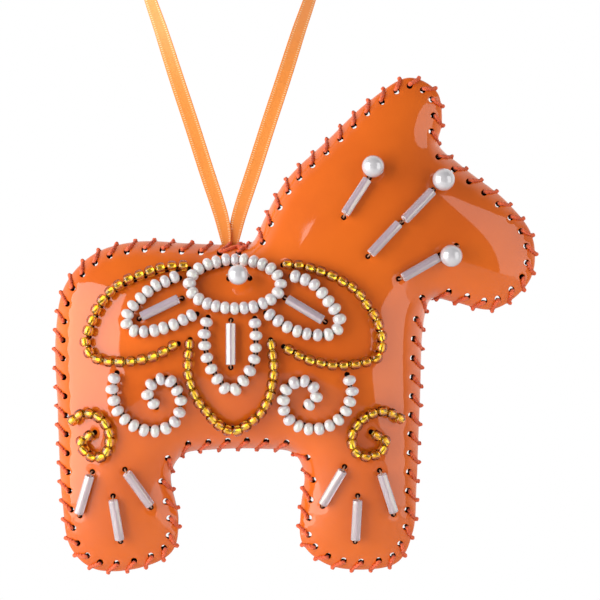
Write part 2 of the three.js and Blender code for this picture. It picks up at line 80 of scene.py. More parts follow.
# The panels' edge, clockwise from the ribbon: up the mane, round the head, down the chest and round the legs.
OUTLINE_DRAWING = [
    (0.0, -0.3), (4.6, 0.0), (7.7, 5.7), (12.2, 13.6), (21.6, 22.8), (30.6, 31.2),
    (39.2, 36.2), (45.2, 33.2), (46.4, 26.5), (45.7, 21.6), (50.7, 16.9), (60.8, 8.8),
    (66.2, 1.2), (65.7, -7.9), (57.8, -14.4), (49.1, -12.9), (44.2, -12.2), (42.6, -16.0),
    (41.5, -36.3), (40.8, -53.6), (40.1, -62.8), (36.9, -69.6), (29.9, -71.4), (21.1, -70.2),
    (15.8, -65.5), (15.5, -58.1), (16.2, -50.3), (13.9, -46.0), (7.0, -45.0), (-4.0, -45.2),
    (-10.2, -46.2), (-12.9, -50.5), (-11.3, -60.5), (-12.6, -67.4), (-20.0, -71.1),
    (-29.8, -71.2), (-34.8, -66.6), (-36.6, -57.0), (-37.7, -36.0), (-38.1, -19.8),
    (-36.1, -9.3), (-29.8, -2.4), (-20.5, 0.3), (-8.0, -0.1),
]

# Strings of beads: how many beads, and the line through their middles.
GOLD_STRINGS = {
    "rear_petal": (22, [
        (-10.0, -5.1), (-14.3, -5.4), (-18.9, -6.9), (-23.8, -9.1), (-27.7, -12.8), (-30.1, -17.6),
        (-31.0, -22.2), (-29.7, -24.6), (-25.9, -25.7), (-21.0, -25.7), (-16.3, -24.6), (-12.1, -22.4)]),
    "front_petal": (22, [
        (12.6, -4.7), (16.8, -5.3), (21.1, -6.8), (26.4, -9.5), (29.9, -13.5), (32.3, -17.8),
        (33.0, -22.6), (31.9, -24.9), (27.3, -26.2), (22.0, -26.4), (17.2, -25.3), (12.9, -23.1)]),
    "centre_petal": (22, [
        (-8.5, -22.0), (-8.8, -26.7), (-7.7, -32.1), (-5.1, -36.3), (-1.8, -39.8), (1.1, -41.0),
        (4.0, -39.4), (7.2, -36.4), (9.0, -32.1), (9.7, -27.5), (9.1, -22.1)]),
    "rear_scroll": (13, [
        (-34.0, -38.4), (-31.6, -37.0), (-28.8, -37.5), (-26.7, -39.3), (-25.8, -42.4), (-26.7, -45.7),
        (-28.8, -46.6), (-31.2, -45.4), (-32.1, -43.2), (-30.4, -41.9)]),
    "front_scroll": (14, [
        (37.0, -38.1), (35.1, -37.0), (32.6, -36.6), (30.0, -37.5), (27.9, -39.4), (26.5, -42.4),
        (27.7, -45.6), (30.6, -46.3), (33.0, -45.2), (33.9, -43.2), (31.9, -41.8)]),
}
CREAM_STRINGS = {
    "rear_petal": (15, [
        (-11.8, -7.5), (-16.1, -9.5), (-19.8, -12.7), (-22.2, -16.6), (-20.9, -18.9), (-16.8, -19.1),
        (-12.1, -17.8), (-8.0, -15.7)]),
    "front_petal": (15, [
        (14.3, -7.4), (18.0, -8.9), (21.6, -12.8), (23.9, -17.2), (22.3, -19.5), (17.5, -19.8),
        (12.8, -18.3), (8.8, -15.7)]),
    "centre_petal": (14, [
        (-4.8, -17.2), (-5.3, -20.7), (-4.7, -24.8), (-2.5, -29.4), (0.4, -32.2), (3.4, -29.5),
        (5.6, -24.9), (5.8, -20.9), (5.6, -17.5)]),
    "rear_scroll": (18, [
        (-24.8, -29.4), (-25.2, -31.5), (-23.9, -36.6), (-19.8, -40.0), (-15.2, -40.7), (-11.5, -38.5),
        (-10.5, -33.9), (-12.9, -29.7), (-15.2, -29.5), (-17.6, -32.3), (-16.3, -34.9)]),
    "front_scroll": (18, [
        (26.0, -29.8), (26.5, -32.1), (26.0, -34.8), (23.0, -38.8), (18.8, -40.3), (14.7, -39.6),
        (11.9, -36.2), (12.1, -32.3), (13.7, -30.4), (16.0, -29.8), (18.2, -31.2), (18.9, -33.4),
        (17.3, -35.0)]),
}
ROSETTE_COUNT = 24
ROSETTE = (1.3, -9.0, 9.9, 5.3)  # middle x and z, half width, half height

# Bugle beads: the middle of each and the way it lies, in degrees up from +x.
BUGLES = {
    "rear_petal": (-14.9, -14.1, 26), "centre_petal": (0.4, -21.9, 90), "front_petal": (16.4, -14.5, -31),
    "rear_hoof_outer": (-31.5, -54.7, 73), "rear_hoof_middle": (-24.5, -60.2, -81),
    "rear_hoof_inner": (-19.7, -53.5, -55), "front_hoof_inner": (22.4, -53.1, 60),
    "front_hoof_middle": (27.6, -60.2, 87), "front_hoof_outer": (34.4, -54.4, -72),
    "mane": (27.5, 9.9, 57), "bridle_upper": (40.9, 8.0, 46), "bridle_lower": (33.6, 0.8, 47),
    "jaw": (41.4, -5.4, 30),
}
# Pearls: the middle of each, the way its bore lies, how far it stands off the leather, and how far out its
# thread goes down on each side, in radii.
PEARLS = {
    "mane": (31.1, 16.4, 147, 0.0, (0.5, 0.5)), "brow": (46.4, 13.6, 136, 0.0, (0.5, 0.5)),
    "jaw": (48.0, -2.9, 52, 0.0, (0.4, 1.1)), "rosette": (2.0, -7.0, 0, 2.1, (1.0, 1.0)),
}
# One side of the ribbon's loop, from the seam up to the top.
RIBBON_SIDE = [
    (0.95, 1.0), (1.3, 3.2), (2.0, 6.2), (5.2, 16.0), (8.4, 26.0), (11.7, 36.0), (14.9, 46.0), (18.8, 58.1),
    (19.7, 66.3), (17.2, 74.1), (11.6, 80.2), (5.1, 83.3),
]


def to_scale(points: list[tuple[float, float]] | Array) -> Array:
    """Stretches points of the drawing to the horse's set length and height.

    Args:
        points: Rows of x and z.

    Returns:
        The rows at the horse's own size.
    """
    drawn = np.array(OUTLINE_DRAWING, float)
    extent = drawn.max(0) - drawn.min(0)
    return np.asarray(points, float) * (np.array([HORSE_LENGTH, HORSE_HEIGHT]) / extent)


# ------------------------------------------------------------------ lines and vectors

def unit(vectors: Array) -> Array:
    """Each row divided by its length."""
    return vectors / np.maximum(np.linalg.norm(vectors, axis=-1, keepdims=True), 1e-12)


def stood(flat: Array, y: Array | float) -> Array:
    """Rows of x and z with this y between them."""
    return np.stack([flat[..., 0], np.broadcast_to(y, flat.shape[:-1]), flat[..., 1]], -1)


def full_turn(count: int) -> Array:
    """Angles evenly round a circle, from 0."""
    return 2 * np.pi * np.arange(count) / count


def circle(radius: float, corners: int) -> Array:
    """The corners of a circle round the origin."""
    angle = full_turn(corners)
    return radius * np.stack([np.cos(angle), np.sin(angle)], -1)


def lengths_along(points: Array) -> Array:
    """How far along a line of points each one is."""
    return np.concatenate([[0.0], np.cumsum(np.linalg.norm(np.diff(points, axis=0), axis=1))])


def batches(rows: Array) -> list[Array]:
    """Rows in batches small enough to measure each against many others."""
    return np.array_split(rows, max(1, len(rows) // BATCH))


def nearest(points: Array, centres: Array) -> tuple[Array, Array]:
    """For each point the nearest centre's number, and the square of its distance.

    Args:
        points: Rows of two values.
        centres: Rows of two values.

    Returns:
        A number and a square for each point.
    """
    numbers, squares = [], []
    for some in batches(points):
        squared = ((some[:, None] - centres[None]) ** 2).sum(-1)
        numbers.append(squared.argmin(1))
        squares.append(squared.min(1))
    return np.concatenate(numbers), np.concatenate(squares)


def smooth_line(points: Array, closed: bool = False, steps: int = 24) -> Array:
    """Carries a centripetal Catmull-Rom curve through points.

    Each span is a cubic whose end slopes come from its neighbours, weighed by the root of the distances.

    Args:
        points: The points to meet, one a row.
        closed: Whether the last point joins the first.
        steps: Straight pieces in each span.

    Returns:
        The curve's points, the first repeated at the end of a closed one.
    """
    p = np.asarray(points, float)
    before, after = (p[-1:], p[:2]) if closed else (2 * p[:1] - p[1:2], 2 * p[-1:] - p[-2:-1])
    ring = np.vstack([before, p, after])
    a, b, c, d = ring[:-3], ring[1:-2], ring[2:-1], ring[3:]
    spans = (b - a, c - b, d - c)
    near, mid, far = (np.linalg.norm(span, axis=1, keepdims=True) ** 0.5 for span in spans)
    leaving = mid * ((b - a) / near - (c - a) / (near + mid) + (c - b) / mid)
    arriving = mid * ((c - b) / mid - (d - b) / (mid + far) + (d - c) / far)
    t = np.linspace(0, 1, steps, endpoint=False)[None, :, None]
    start, end, out, into = (x[:, None, :] for x in (b, c, leaving, arriving))
    line = (2 * t**3 - 3 * t**2 + 1) * start + (t**3 - 2 * t**2 + t) * out
    line = line + (3 * t**2 - 2 * t**3) * end + (t**3 - t**2) * into
    return np.vstack([line.reshape(-1, p.shape[1]), ring[-2:-1]])


class Line:
    """A curve as closely set points, read by length along it."""

    def __init__(self, points: Array, closed: bool = False) -> None:
        """Measures the curve.

        Args:
            points: Points along the curve.
            closed: Whether reading past the end goes on from the start.
        """
        self.points = points
        self.closed = closed
        self.along = lengths_along(points)
        self.length = float(self.along[-1])

    def at(self, along: Array) -> Array:
        """The places at these lengths along the curve.

        Args:
            along: Lengths from the start.

        Returns:
            One row for each length.
        """
        s = np.asarray(along, float)
        inside = np.mod(s, self.length) if self.closed else np.clip(s, 0, self.length)
        place = np.stack([np.interp(inside, self.along, column) for column in self.points.T], -1)
        if self.closed:
            return place
        first, last = unit(self.points[1] - self.points[0]), unit(self.points[-1] - self.points[-2])
        return place + np.minimum(s, 0)[..., None] * first + np.maximum(s - self.length, 0)[..., None] * last

    def heading(self, along: Array, reach: float = 0.3) -> Array:
        """The direction of the curve at these lengths, taken over a short reach each way."""
        return unit(self.at(np.asarray(along) + reach) - self.at(np.asarray(along) - reach))


class Outline(Line):
    """The edge of the leather panels, with the places of the rim's holes and stitches."""

    hole_inset = 1.9
    hole_pitch = 4.15

    def __init__(self) -> None:
        """Draws the edge at its set size and shares out the stitches."""
        super().__init__(smooth_line(to_scale(OUTLINE_DRAWING), closed=True, steps=40), closed=True)
        self.stitches = round(self.length / self.hole_pitch)
        self.pitch = self.length / self.stitches

    def beside(self, along: Array, outwards: Array | float) -> Array:
        """Places next to the edge.

        Args:
            along: Lengths along the edge.
            outwards: How far out of the leather, or into it when negative.

        Returns:
            Rows of x and z.
        """
        tangent = self.heading(along)
        outward = np.stack([-tangent[..., 1], tangent[..., 0]], -1)
        return self.at(along) + outward * np.asarray(outwards, float)[..., None]

    def hole_centres(self) -> Array:
        """The middles of the rim's punched holes."""
        return self.beside((np.arange(self.stitches) + 0.5) * self.pitch, -self.hole_inset)

    def depth(self, points: Array) -> tuple[Array, Array]:
        """How far inside the edge each point is, and where along the edge it is nearest.

        The nearest corner of the edge is found first, then the point is dropped onto its two sides.

        Args:
            points: Rows of x and z.

        Returns:
            The depth, negative outside, and the length along the edge.
        """
        corners = self.points[:-1]
        count = len(corners)
        depths, lengths = [], []
        for some in batches(points):
            corner = nearest(some, corners)[0]
            best, place, side = np.full(len(some), np.inf), np.zeros(len(some)), np.ones(len(some))
            for first in (corner - 1, corner):
                a, b = corners[first % count], corners[(first + 1) % count]
                span = b - a
                share = np.clip(((some - a) * span).sum(1) / (span**2).sum(1), 0, 1)
                gap = some - (a + span * share[:, None])
                far = np.hypot(gap[:, 0], gap[:, 1])
                reached = self.along[first % count] + share * np.hypot(span[:, 0], span[:, 1])
                closer = far < best
                best = np.where(closer, far, best)
                place = np.where(closer, reached, place)
                side = np.where(closer, np.sign(gap[:, 0] * span[:, 1] - gap[:, 1] * span[:, 0]), side)
            depths.append(best * side)
            lengths.append(place)
        return np.concatenate(depths), np.concatenate(lengths)


# ------------------------------------------------------------------ the puffed skin

@dataclass
class PuffedSkin:
    """The stuffed leather's height over the plane of the seam.

    The height follows a skin stretched over the outline under even pressure: its Laplacian is constant inside
    and its edge is at zero. A root then keeps legs and body alike in fullness, and a stiff rim rises slowly.
    """

    outline: Outline
    pitch: float = 0.75
    fullness: float = 0.86
    rim_stiffness: float = 3.0
    thickness: float = 1.1
    seam_gap: float = 0.15
    stitch_pull: float = 0.28
    stitch_reach: float = 1.7
    dimple: float = 0.2
    dimple_radius: float = 1.0
    ribbon_room: float = 0.3
    ribbon_reach: float = 3.2
    clearance: float = 0.05
    sweeps: int = 900
    relaxed_width: int = 100
    dimples: Array = field(default_factory=lambda: np.zeros((0, 2)))

    def __post_init__(self) -> None:
        """Works the height out on a square grid."""
        margin, least = 4 * self.pitch, 0.05
        self.low = self.outline.points.min(0) - margin
        span = self.outline.points.max(0) + margin - self.low
        columns, rows = (np.ceil(span / self.pitch).astype(int) + 1).tolist()
        across, up = (low + self.pitch * np.arange(n) for low, n in zip(self.low, (columns, rows)))
        x, z = np.meshgrid(across, up)
        depth = self.outline.depth(np.column_stack([x.ravel(), z.ravel()]))[0].reshape(x.shape)
        pressure = self._pressed(depth)
        rise = np.sqrt(np.maximum(pressure + self.rim_stiffness**2, least)) - self.rim_stiffness
        self.heights = self.fullness * rise
        self.slope_z, self.slope_x = (slope / self.pitch for slope in np.gradient(self.heights))

    def _pressed(self, depth: Array) -> Array:
        """Solves the stretched skin by red and black over-relaxation.

        A neighbour outside the edge stands for zero at the edge itself, by widening the diagonal.

        Args:
            depth: How far inside the edge each grid point is.

        Returns:
            The pressed height, carried on past the edge with the slope it has there.
        """
        on_edge, least, sloping = 0.08 * self.pitch, 0.1 * self.pitch, 0.3 * self.pitch
        inside = depth > on_edge
        skin = np.zeros_like(depth)
        shifts = ((0, 1), (0, -1), (1, 0), (-1, 0))
        all_round = (*shifts, (1, 1), (1, -1), (-1, 1), (-1, -1))
        diagonal = np.full_like(depth, 4.0)
        for shift in shifts:
            beside = np.roll(depth, shift, (0, 1))
            outside = ~np.roll(inside, shift, (0, 1))
            diagonal += np.where(outside, np.abs(beside) / np.maximum(depth, least), 0)
        checks = np.indices(depth.shape).sum(0) % 2
        relax = 2 / (1 + math.sin(math.pi / self.relaxed_width))
        for sweep in range(self.sweeps):
            around = sum(np.roll(skin, shift, (0, 1)) for shift in shifts)
            chosen = inside & (checks == sweep % 2)
            level = (around + self.pitch**2) / diagonal
            skin = np.where(chosen, skin + relax * (level - skin), skin)
        known = inside.copy()
        slope = np.where(inside, skin / np.maximum(depth, sloping), 0)
        for _ in range(4):
            total = sum(np.roll(slope * known, shift, (0, 1)) for shift in all_round)
            count = sum(np.roll(known, shift, (0, 1)).astype(float) for shift in all_round)
            fresh = ~known & (count > 0)
            slope = np.where(fresh, total / np.maximum(count, 1), slope)
            known = known | fresh
        return np.where(inside, skin, slope * np.minimum(depth, 0))

    def _read(self, grid: Array, points: Array) -> Array:
        """A grid's values at each x and z, weighed between its four nearest points.

        Args:
            grid: A value for each point of the square grid.
            points: Rows of x and z.

        Returns:
            A value for each point.
        """
        place = (points - self.low) / self.pitch
        rows, columns = grid.shape
        c = np.clip(np.floor(place[:, 0]).astype(int), 0, columns - 2)
        r = np.clip(np.floor(place[:, 1]).astype(int), 0, rows - 2)
        s, t = place[:, 0] - c, place[:, 1] - r
        lower = grid[r, c] * (1 - s) + grid[r, c + 1] * s
        upper = grid[r + 1, c] * (1 - s) + grid[r + 1, c + 1] * s
        return lower * (1 - t) + upper * t

    def marks(self, points: Array) -> Array:
        """What sewing does to the height.

        Each stitch pulls a bell along the edge, each hole is a dimple, and the ribbon needs room.

        Args:
            points: Rows of x and z.

        Returns:
            A small height for each point.
        """
        depth, along = self.outline.depth(points)
        wave = 0.5 + 0.5 * np.cos(2 * np.pi * along / self.outline.pitch)
        height = -self.stitch_pull * wave * np.exp(-((depth / self.stitch_reach) ** 2))
        height += self.ribbon_room * np.exp(-(points**2).sum(1) / self.ribbon_reach**2)
        if len(self.dimples):
            height -= self.dimple * np.exp(-nearest(points, self.dimples)[1] / self.dimple_radius**2)
        return height

    def outer(self, points: Array, marked: bool = False) -> Array:
        """How far the leather's outer face stands from the seam plane at each x and z."""
        plain = self._read(self.heights, points) + self.seam_gap + self.thickness
        return plain + self.marks(points) if marked else plain

    def outward(self, points: Array, marked: bool = False) -> Array:
        """The way out of the front face, from the slopes of its height.

        Args:
            points: Rows of x and z.
            marked: Whether the marks of stitches and holes count.

        Returns:
            A unit vector for each point, with its y towards the viewer, which is negative.
        """
        slope = np.stack([self._read(self.slope_x, points), self._read(self.slope_z, points)], -1)
        if marked:
            reach = 0.12
            for axis in range(2):
                step = reach * np.eye(2)[axis]
                slope[:, axis] += (self.marks(points + step) - self.marks(points - step)) / (2 * reach)
        return unit(stood(-slope, -1.0))

    def resting(self, points: Array, radius: float) -> Array:
        """Where the middle of a round thing rests on the front face, seen from the front at each x and z."""
        lean = 1 / -self.outward(points)[:, 1]
        return stood(points, -self.outer(points) - (radius + self.clearance) * lean)

    def feet(self, points: Array, radius: float) -> Array:
        """The leather right under a round thing's middle: its x and z moved back along the way out.

        Args:
            points: Rows of x and z.
            radius: How far the middle is from the leather.

        Returns:
            Rows of x and z.
        """
        foot = points
        for _ in range(3):
            foot = points - radius * self.outward(foot)[:, [0, 2]]
        return foot


# ------------------------------------------------------------------ meshes

def in_frame(points: Array) -> Array:
    """Drawing millimetres to metres in the frame of the CAD part."""
    return (points - np.array([0.0, 0.0, HANG])) * MM


def grid_faces(rows: int, columns: int, closed_rows: bool = False, closed_columns: bool = True) -> Array:
    """The quads of a grid of points, row by row.

    Args:
        rows: Rows in the grid.
        columns: Points in each row.
        closed_rows: Whether the last row joins the first.
        closed_columns: Whether each row is a ring.

    Returns:
        Rows of four point numbers.
    """
    r = np.arange(rows if closed_rows else rows - 1)[:, None]
    c = np.arange(columns if closed_columns else columns - 1)[None, :]
    here, below = r * columns, ((r + 1) % rows) * columns
    right = (c + 1) % columns
    return np.stack([here + c, here + right, below + right, below + c], -1).reshape(-1, 4)


@dataclass
class Surface:
    """Points in drawing millimetres with their faces, and what a shader needs to know of them."""

    points: Array
    faces: list[Array]
    normals: Array | None = None
    corner_normals: Array | None = None
    slots: Array | None = None
    uv: Array | None = None
    tint: Array | None = None

    def place(self, name: str, materials: list[bpy.types.Material]) -> bpy.types.Object:
        """Makes the surface an object at the origin of the frame.

        Args:
            name: The piece's name.
            materials: Its finishes, in the order of its slots.

        Returns:
            The new object.
        """
        mesh = bpy.data.meshes.new(name)
        corners = np.concatenate([f.ravel() for f in self.faces]).astype(np.int32)
        sizes = np.concatenate([np.full(len(f), f.shape[1]) for f in self.faces]).astype(np.int32)
        mesh.vertices.add(len(self.points))
        mesh.vertices.foreach_set("co", in_frame(self.points).astype(np.float32).ravel())
        mesh.loops.add(len(corners))
        mesh.loops.foreach_set("vertex_index", corners)
        mesh.polygons.add(len(sizes))
        mesh.polygons.foreach_set("loop_start", (np.cumsum(sizes) - sizes).astype(np.int32))
        mesh.polygons.foreach_set("loop_total", sizes)
        mesh.polygons.foreach_set("use_smooth", np.ones(len(sizes), bool))
        if self.slots is not None:
            mesh.polygons.foreach_set("material_index", self.slots.astype(np.int32))
        mesh.update(calc_edges=True)
        for material in materials:
            mesh.materials.append(material)
        if self.uv is not None:
            layer = mesh.uv_layers.new(name="lie")
            layer.data.foreach_set("uv", self.uv[corners].astype(np.float32).ravel())
        if self.tint is not None:
            tints = mesh.attributes.new("tint", "FLOAT", "POINT")
            tints.data.foreach_set("value", self.tint.astype(np.float32))
        if self.normals is not None:
            mesh.normals_split_custom_set_from_vertices(self.normals.astype(np.float32))
        if self.corner_normals is not None:
            mesh.normals_split_custom_set(self.corner_normals.astype(np.float32))
        made = bpy.data.objects.new(name, mesh)
        bpy.context.scene.collection.objects.link(made)
        return made


def joined(surfaces: list[Surface]) -> Surface:
    """Several surfaces as one, with their point numbers moved on.

    Args:
        surfaces: The surfaces, all with the same kinds of values.

    Returns:
        The one surface.
    """
    starts = np.concatenate([[0], np.cumsum([len(s.points) for s in surfaces])])
    faces = [f + start for s, start in zip(surfaces, starts) for f in s.faces]

    def together(name: str) -> Array | None:
        """One of their values, end to end."""
        values = [getattr(s, name) for s in surfaces]
        return None if values[0] is None else np.concatenate(values)

    rest = {name: together(name) for name in ("normals", "corner_normals", "slots", "uv", "tint")}
    return Surface(together("points"), faces, **rest)


def swept(
    middle: Array, side: Array, section: Array, closed: bool = False, turn: Array | None = None,
) -> Surface:
    """Carries a section along a path.

    Each ring is the path's point, plus the section's first value along the side vector and its second along
    the vector square to the side and the path. The section may be one for all rings or one for each.

    Args:
        middle: The path's points.
        side: A vector for each point that the section's first axis follows.
        section: Section points, as (k, 2) or (rings, k, 2), in millimetres.
        closed: Whether the last ring joins the first.
        turn: An angle for each ring that turns the section about the path.

    Returns:
        The tube, with uv as length along and share round, capped where it is open.
    """
    path = np.gradient(middle, axis=0)
    if closed:
        path = np.roll(middle, -1, 0) - np.roll(middle, 1, 0)
    path = unit(path)
    first = unit(side - (side * path).sum(-1, keepdims=True) * path)
    second = np.cross(path, first)
    if turn is not None:
        cos, sin = np.cos(turn)[:, None], np.sin(turn)[:, None]
        first, second = first * cos + second * sin, second * cos - first * sin
    rings, around = len(middle), section.shape[-2]
    spread = np.broadcast_to(section, (rings, around, 2))
    points = middle[:, None] + spread[..., :1] * first[:, None] + spread[..., 1:] * second[:, None]
    length = lengths_along(middle)[:, None]
    uv = np.stack(np.broadcast_arrays(length, (np.arange(around) / around)[None]), -1)
    faces = [grid_faces(rings, around, closed_rows=closed)]
    about = np.roll(points, -1, 1) - np.roll(points, 1, 1)
    ahead = np.roll(points, -1, 0) - np.roll(points, 1, 0) if closed else np.gradient(points, axis=0)
    out = unit(np.cross(about, ahead)).reshape(-1, 3)
    normals = [out[faces[0]].reshape(-1, 3)]
    points, uv = points.reshape(-1, 3), uv.reshape(-1, 2)
    if not closed:
        ends = np.array([0, (rings - 1) * around])
        points = np.vstack([points, middle[[0, -1]]])
        uv = np.vstack([uv, uv[ends]])
        ring = np.arange(around)
        tip = rings * around
        first_cap = np.stack([np.roll(ring, -1), ring, np.full(around, tip)], -1)
        last_cap = np.stack([ends[1] + ring, ends[1] + np.roll(ring, -1), np.full(around, tip + 1)], -1)
        faces += [first_cap, last_cap]
        normals += [np.repeat(-path[:1], 3 * around, 0), np.repeat(path[-1:], 3 * around, 0)]
    return Surface(points, faces, corner_normals=np.concatenate(normals), uv=uv)


def turned(
    profile: Array, sides: int, centres: Array, axes: Array, stretch: Array, swell: Array | None = None,
) -> Surface:
    """Many copies of a turned shape, each on its own axis.

    A point is the copy's centre, plus its profile height along the axis, plus its profile radius at an angle
    round the axis. Its normal is the profile's own, turned the same way.

    Args:
        profile: A closed loop of radius and height, outer side first.
        sides: Points round the axis.
        centres: The middle of each copy.
        axes: The unit axis of each copy.
        stretch: Radius and height factors of each copy.
        swell: A radius factor for each angle, for sections that aren't round.

    Returns:
        All copies as one surface with their normals.
    """
    ahead, behind = np.roll(profile, -1, 0), np.roll(profile, 1, 0)
    slope = unit(ahead - behind)
    profile_normal = np.stack([slope[:, 1], -slope[:, 0]], -1)
    cos, sin = np.cos(full_turn(sides))[None, :, None], np.sin(full_turn(sides))[None, :, None]
    round_factor = np.ones(sides) if swell is None else swell
    wrapped = np.concatenate([round_factor[-1:], round_factor, round_factor[:1]])
    lean = np.gradient(wrapped)[1:-1] * sides / (2 * np.pi)
    upright = np.where(np.abs(axes[:, 2:]) < 0.8, np.array([[0.0, 0.0, 1.0]]), np.array([[1.0, 0.0, 0.0]]))
    first = unit(np.cross(upright, axes))[:, None]
    second = np.cross(axes, first[:, 0])[:, None]
    out = cos * first + sin * second
    about = cos * second - sin * first
    rows = profile[None, :, None]
    radius = rows[..., :1] * stretch[:, None, None, :1] * round_factor[None, None, :, None]
    height = rows[..., 1:] * stretch[:, None, None, 1:]
    points = centres[:, None, None] + height * axes[:, None, None] + radius * out[:, None]
    normals = profile_normal[None, :, None, :1] * (out - lean[None, :, None] * about)[:, None]
    normals = unit(normals + profile_normal[None, :, None, 1:] * axes[:, None, None])
    rings = len(profile)
    quads = grid_faces(rings, sides, closed_rows=True)
    faces = (quads[None] + (np.arange(len(centres)) * rings * sides)[:, None, None]).reshape(-1, 4)
    tint = np.repeat(np.random.default_rng(5).random(len(centres)), rings * sides)
    return Surface(points.reshape(-1, 3), [faces], normals=normals.reshape(-1, 3), tint=tint)


def barrel(diameter: float, length: float, bore: float, squareness: float = 2.2) -> Array:
    """The profile of a seed bead: a rounded oval cut off at its bore, whose wall is its last two rows.

    Args:
        diameter: Across the bore.
        length: Along the bore, before the cut.
        bore: The bore's diameter.
        squareness: 2 for an ellipse, more for squarer shoulders.

    Returns:
        Rows of radius and height.
    """
    power = 2 / squareness
    mouth = math.acos((bore / diameter) ** (1 / power))
    angle = mouth * np.array([-1.0, -0.84, -0.62, -0.4, -0.14, 0.14, 0.4, 0.62, 0.84, 1.0])
    up = np.sin(angle)
    radius = (diameter / 2) * np.cos(angle) ** power
    outside = np.stack([radius, (length / 2) * np.sign(up) * np.abs(up) ** power], -1)
    return np.vstack([outside, [(bore / 2, 0.0)]])


def rod(diameter: float, length: float, bore: float, edge: float = 0.14) -> Array:
    """The profile of a cut tube with softened rims.

    Args:
        diameter: Across the tube.
        length: Along it.
        bore: The bore's diameter.
        edge: How far each rim is softened.

    Returns:
        Rows of radius and height.
    """
    outside, inside, half = diameter / 2, bore / 2, length / 2
    return np.array([
        (outside - edge, -half), (outside, -half + edge), (outside, -half / 2), (outside, 0.0),
        (outside, half / 2), (outside, half - edge), (outside - edge, half), (inside + edge / 2, half),
        (inside, half - edge), (inside, 0.0), (inside, -half + edge), (inside + edge / 2, -half),
    ])


def ball(diameter: float, bore: float, rings: int = 17) -> Array:
    """The profile of a drilled ball.

    Args:
        diameter: Across the ball.
        bore: The bore's diameter.
        rings: Rows on the outside.

    Returns:
        Rows of radius and height.
    """
    mouth = math.asin(bore / diameter)
    angle = np.linspace(-math.pi / 2 + mouth, math.pi / 2 - mouth, rings)
    outside = (diameter / 2) * np.stack([np.cos(angle), np.sin(angle)], -1)
    radius, height = bore / 2 * 0.94, outside[-1, 1] * 0.9
    return np.vstack([outside, [(radius, height), (radius, -height)]])


# ------------------------------------------------------------------ finishes

class Board:
    """The nodes of one material or node group, made and linked in short calls."""

    def __init__(self, tree: bpy.types.NodeTree) -> None:
        """Keeps the tree to work on."""
        self.tree = tree

    def add(self, kind: str, **settings: object) -> bpy.types.Node:
        """A new node with its settings; a setting named after a socket sets that input.

        Args:
            kind: The node's type.
            settings: Properties of the node, or input values by name with _ for a space.

        Returns:
            The node.
        """
        node = self.tree.nodes.new(kind)
        for name, value in settings.items():
            if hasattr(node, name):
                setattr(node, name, value)
            else:
                node.inputs[name.replace("_", " ")].default_value = value
        return node

    def link(self, source: bpy.types.NodeSocket, target: bpy.types.NodeSocket) -> None:
        """Joins an output to an input."""
        self.tree.links.new(source, target)

    def mix(self, share: object, one: object, other: object) -> bpy.types.NodeSocket:
        """A colour between two, by a share that is a socket or a number.

        Args:
            share: 0 for one, 1 for other.
            one: A colour or a colour socket.
            other: A colour or a colour socket.

        Returns:
            The mixed colour's socket.
        """
        node = self.tree.nodes.new("ShaderNodeMix")
        node.data_type = "RGBA"
        for socket, value in ((node.inputs[0], share), (node.inputs[6], one), (node.inputs[7], other)):
            if isinstance(value, bpy.types.NodeSocket):
                self.link(value, socket)
            else:
                socket.default_value = value if isinstance(value, (int, float)) else (*value, 1.0)
        return node.outputs[2]

    def place(self) -> bpy.types.NodeSocket:
        """Where the shaded point is on its piece, in metres."""
        return self.add("ShaderNodeTexCoord").outputs["Object"]

    def lie(self) -> tuple[bpy.types.NodeSocket, bpy.types.NodeSocket]:
        """How far along a swept piece the shaded point is, in millimetres, and how far round or across.

        Returns:
            The two sockets.
        """
        parts = self.add("ShaderNodeSeparateXYZ")
        self.link(self.add("ShaderNodeUVMap", uv_map="lie").outputs["UV"], parts.inputs[0])
        return parts.outputs["X"], parts.outputs["Y"]

    def work(self, operation: str, *values: object) -> bpy.types.NodeSocket:
        """A Math node's result for sockets or numbers.

        Args:
            operation: The node's operation.
            values: Its inputs in order.

        Returns:
            The result's socket.
        """
        node = self.tree.nodes.new("ShaderNodeMath")
        node.operation = operation
        for socket, value in zip(node.inputs, values):
            if isinstance(value, bpy.types.NodeSocket):
                self.link(value, socket)
            else:
                socket.default_value = value
        return node.outputs[0]

    def spread(self, value: bpy.types.NodeSocket, low: float, high: float) -> bpy.types.NodeSocket:
        """A value's range from low to high carried to 0 to 1, smoothly and without going past.

        Args:
            value: The value's socket.
            low: What becomes 0.
            high: What becomes 1.

        Returns:
            The new value's socket.
        """
        node = self.add("ShaderNodeMapRange", interpolation_type="SMOOTHSTEP", From_Min=low, From_Max=high)
        self.link(value, node.inputs["Value"])
        return node.outputs["Result"]

    def noise(self, vector: bpy.types.NodeSocket, scale: float, detail: float = 2.0) -> bpy.types.NodeSocket:
        """A cloudy value between 0 and 1 at this many waves a unit.

        Args:
            vector: Where to read it.
            scale: Waves a unit.
            detail: Layers of finer waves.

        Returns:
            The value's socket.
        """
        node = self.add("ShaderNodeTexNoise", Scale=scale, Detail=detail)
        self.link(vector, node.inputs["Vector"])
        return node.outputs["Fac"]


class Effect(Enum):
    """The shared surface effects, each a node group."""

    GRAIN = "leather_grain"
    PLY = "twisted_ply"
    WEAVE = "satin_weave"
    BLOOM = "pearl_bloom"


# An effect's recipe takes a board and two colours, and gives a mixed colour and a height.
Sockets = tuple[bpy.types.NodeSocket, bpy.types.NodeSocket]


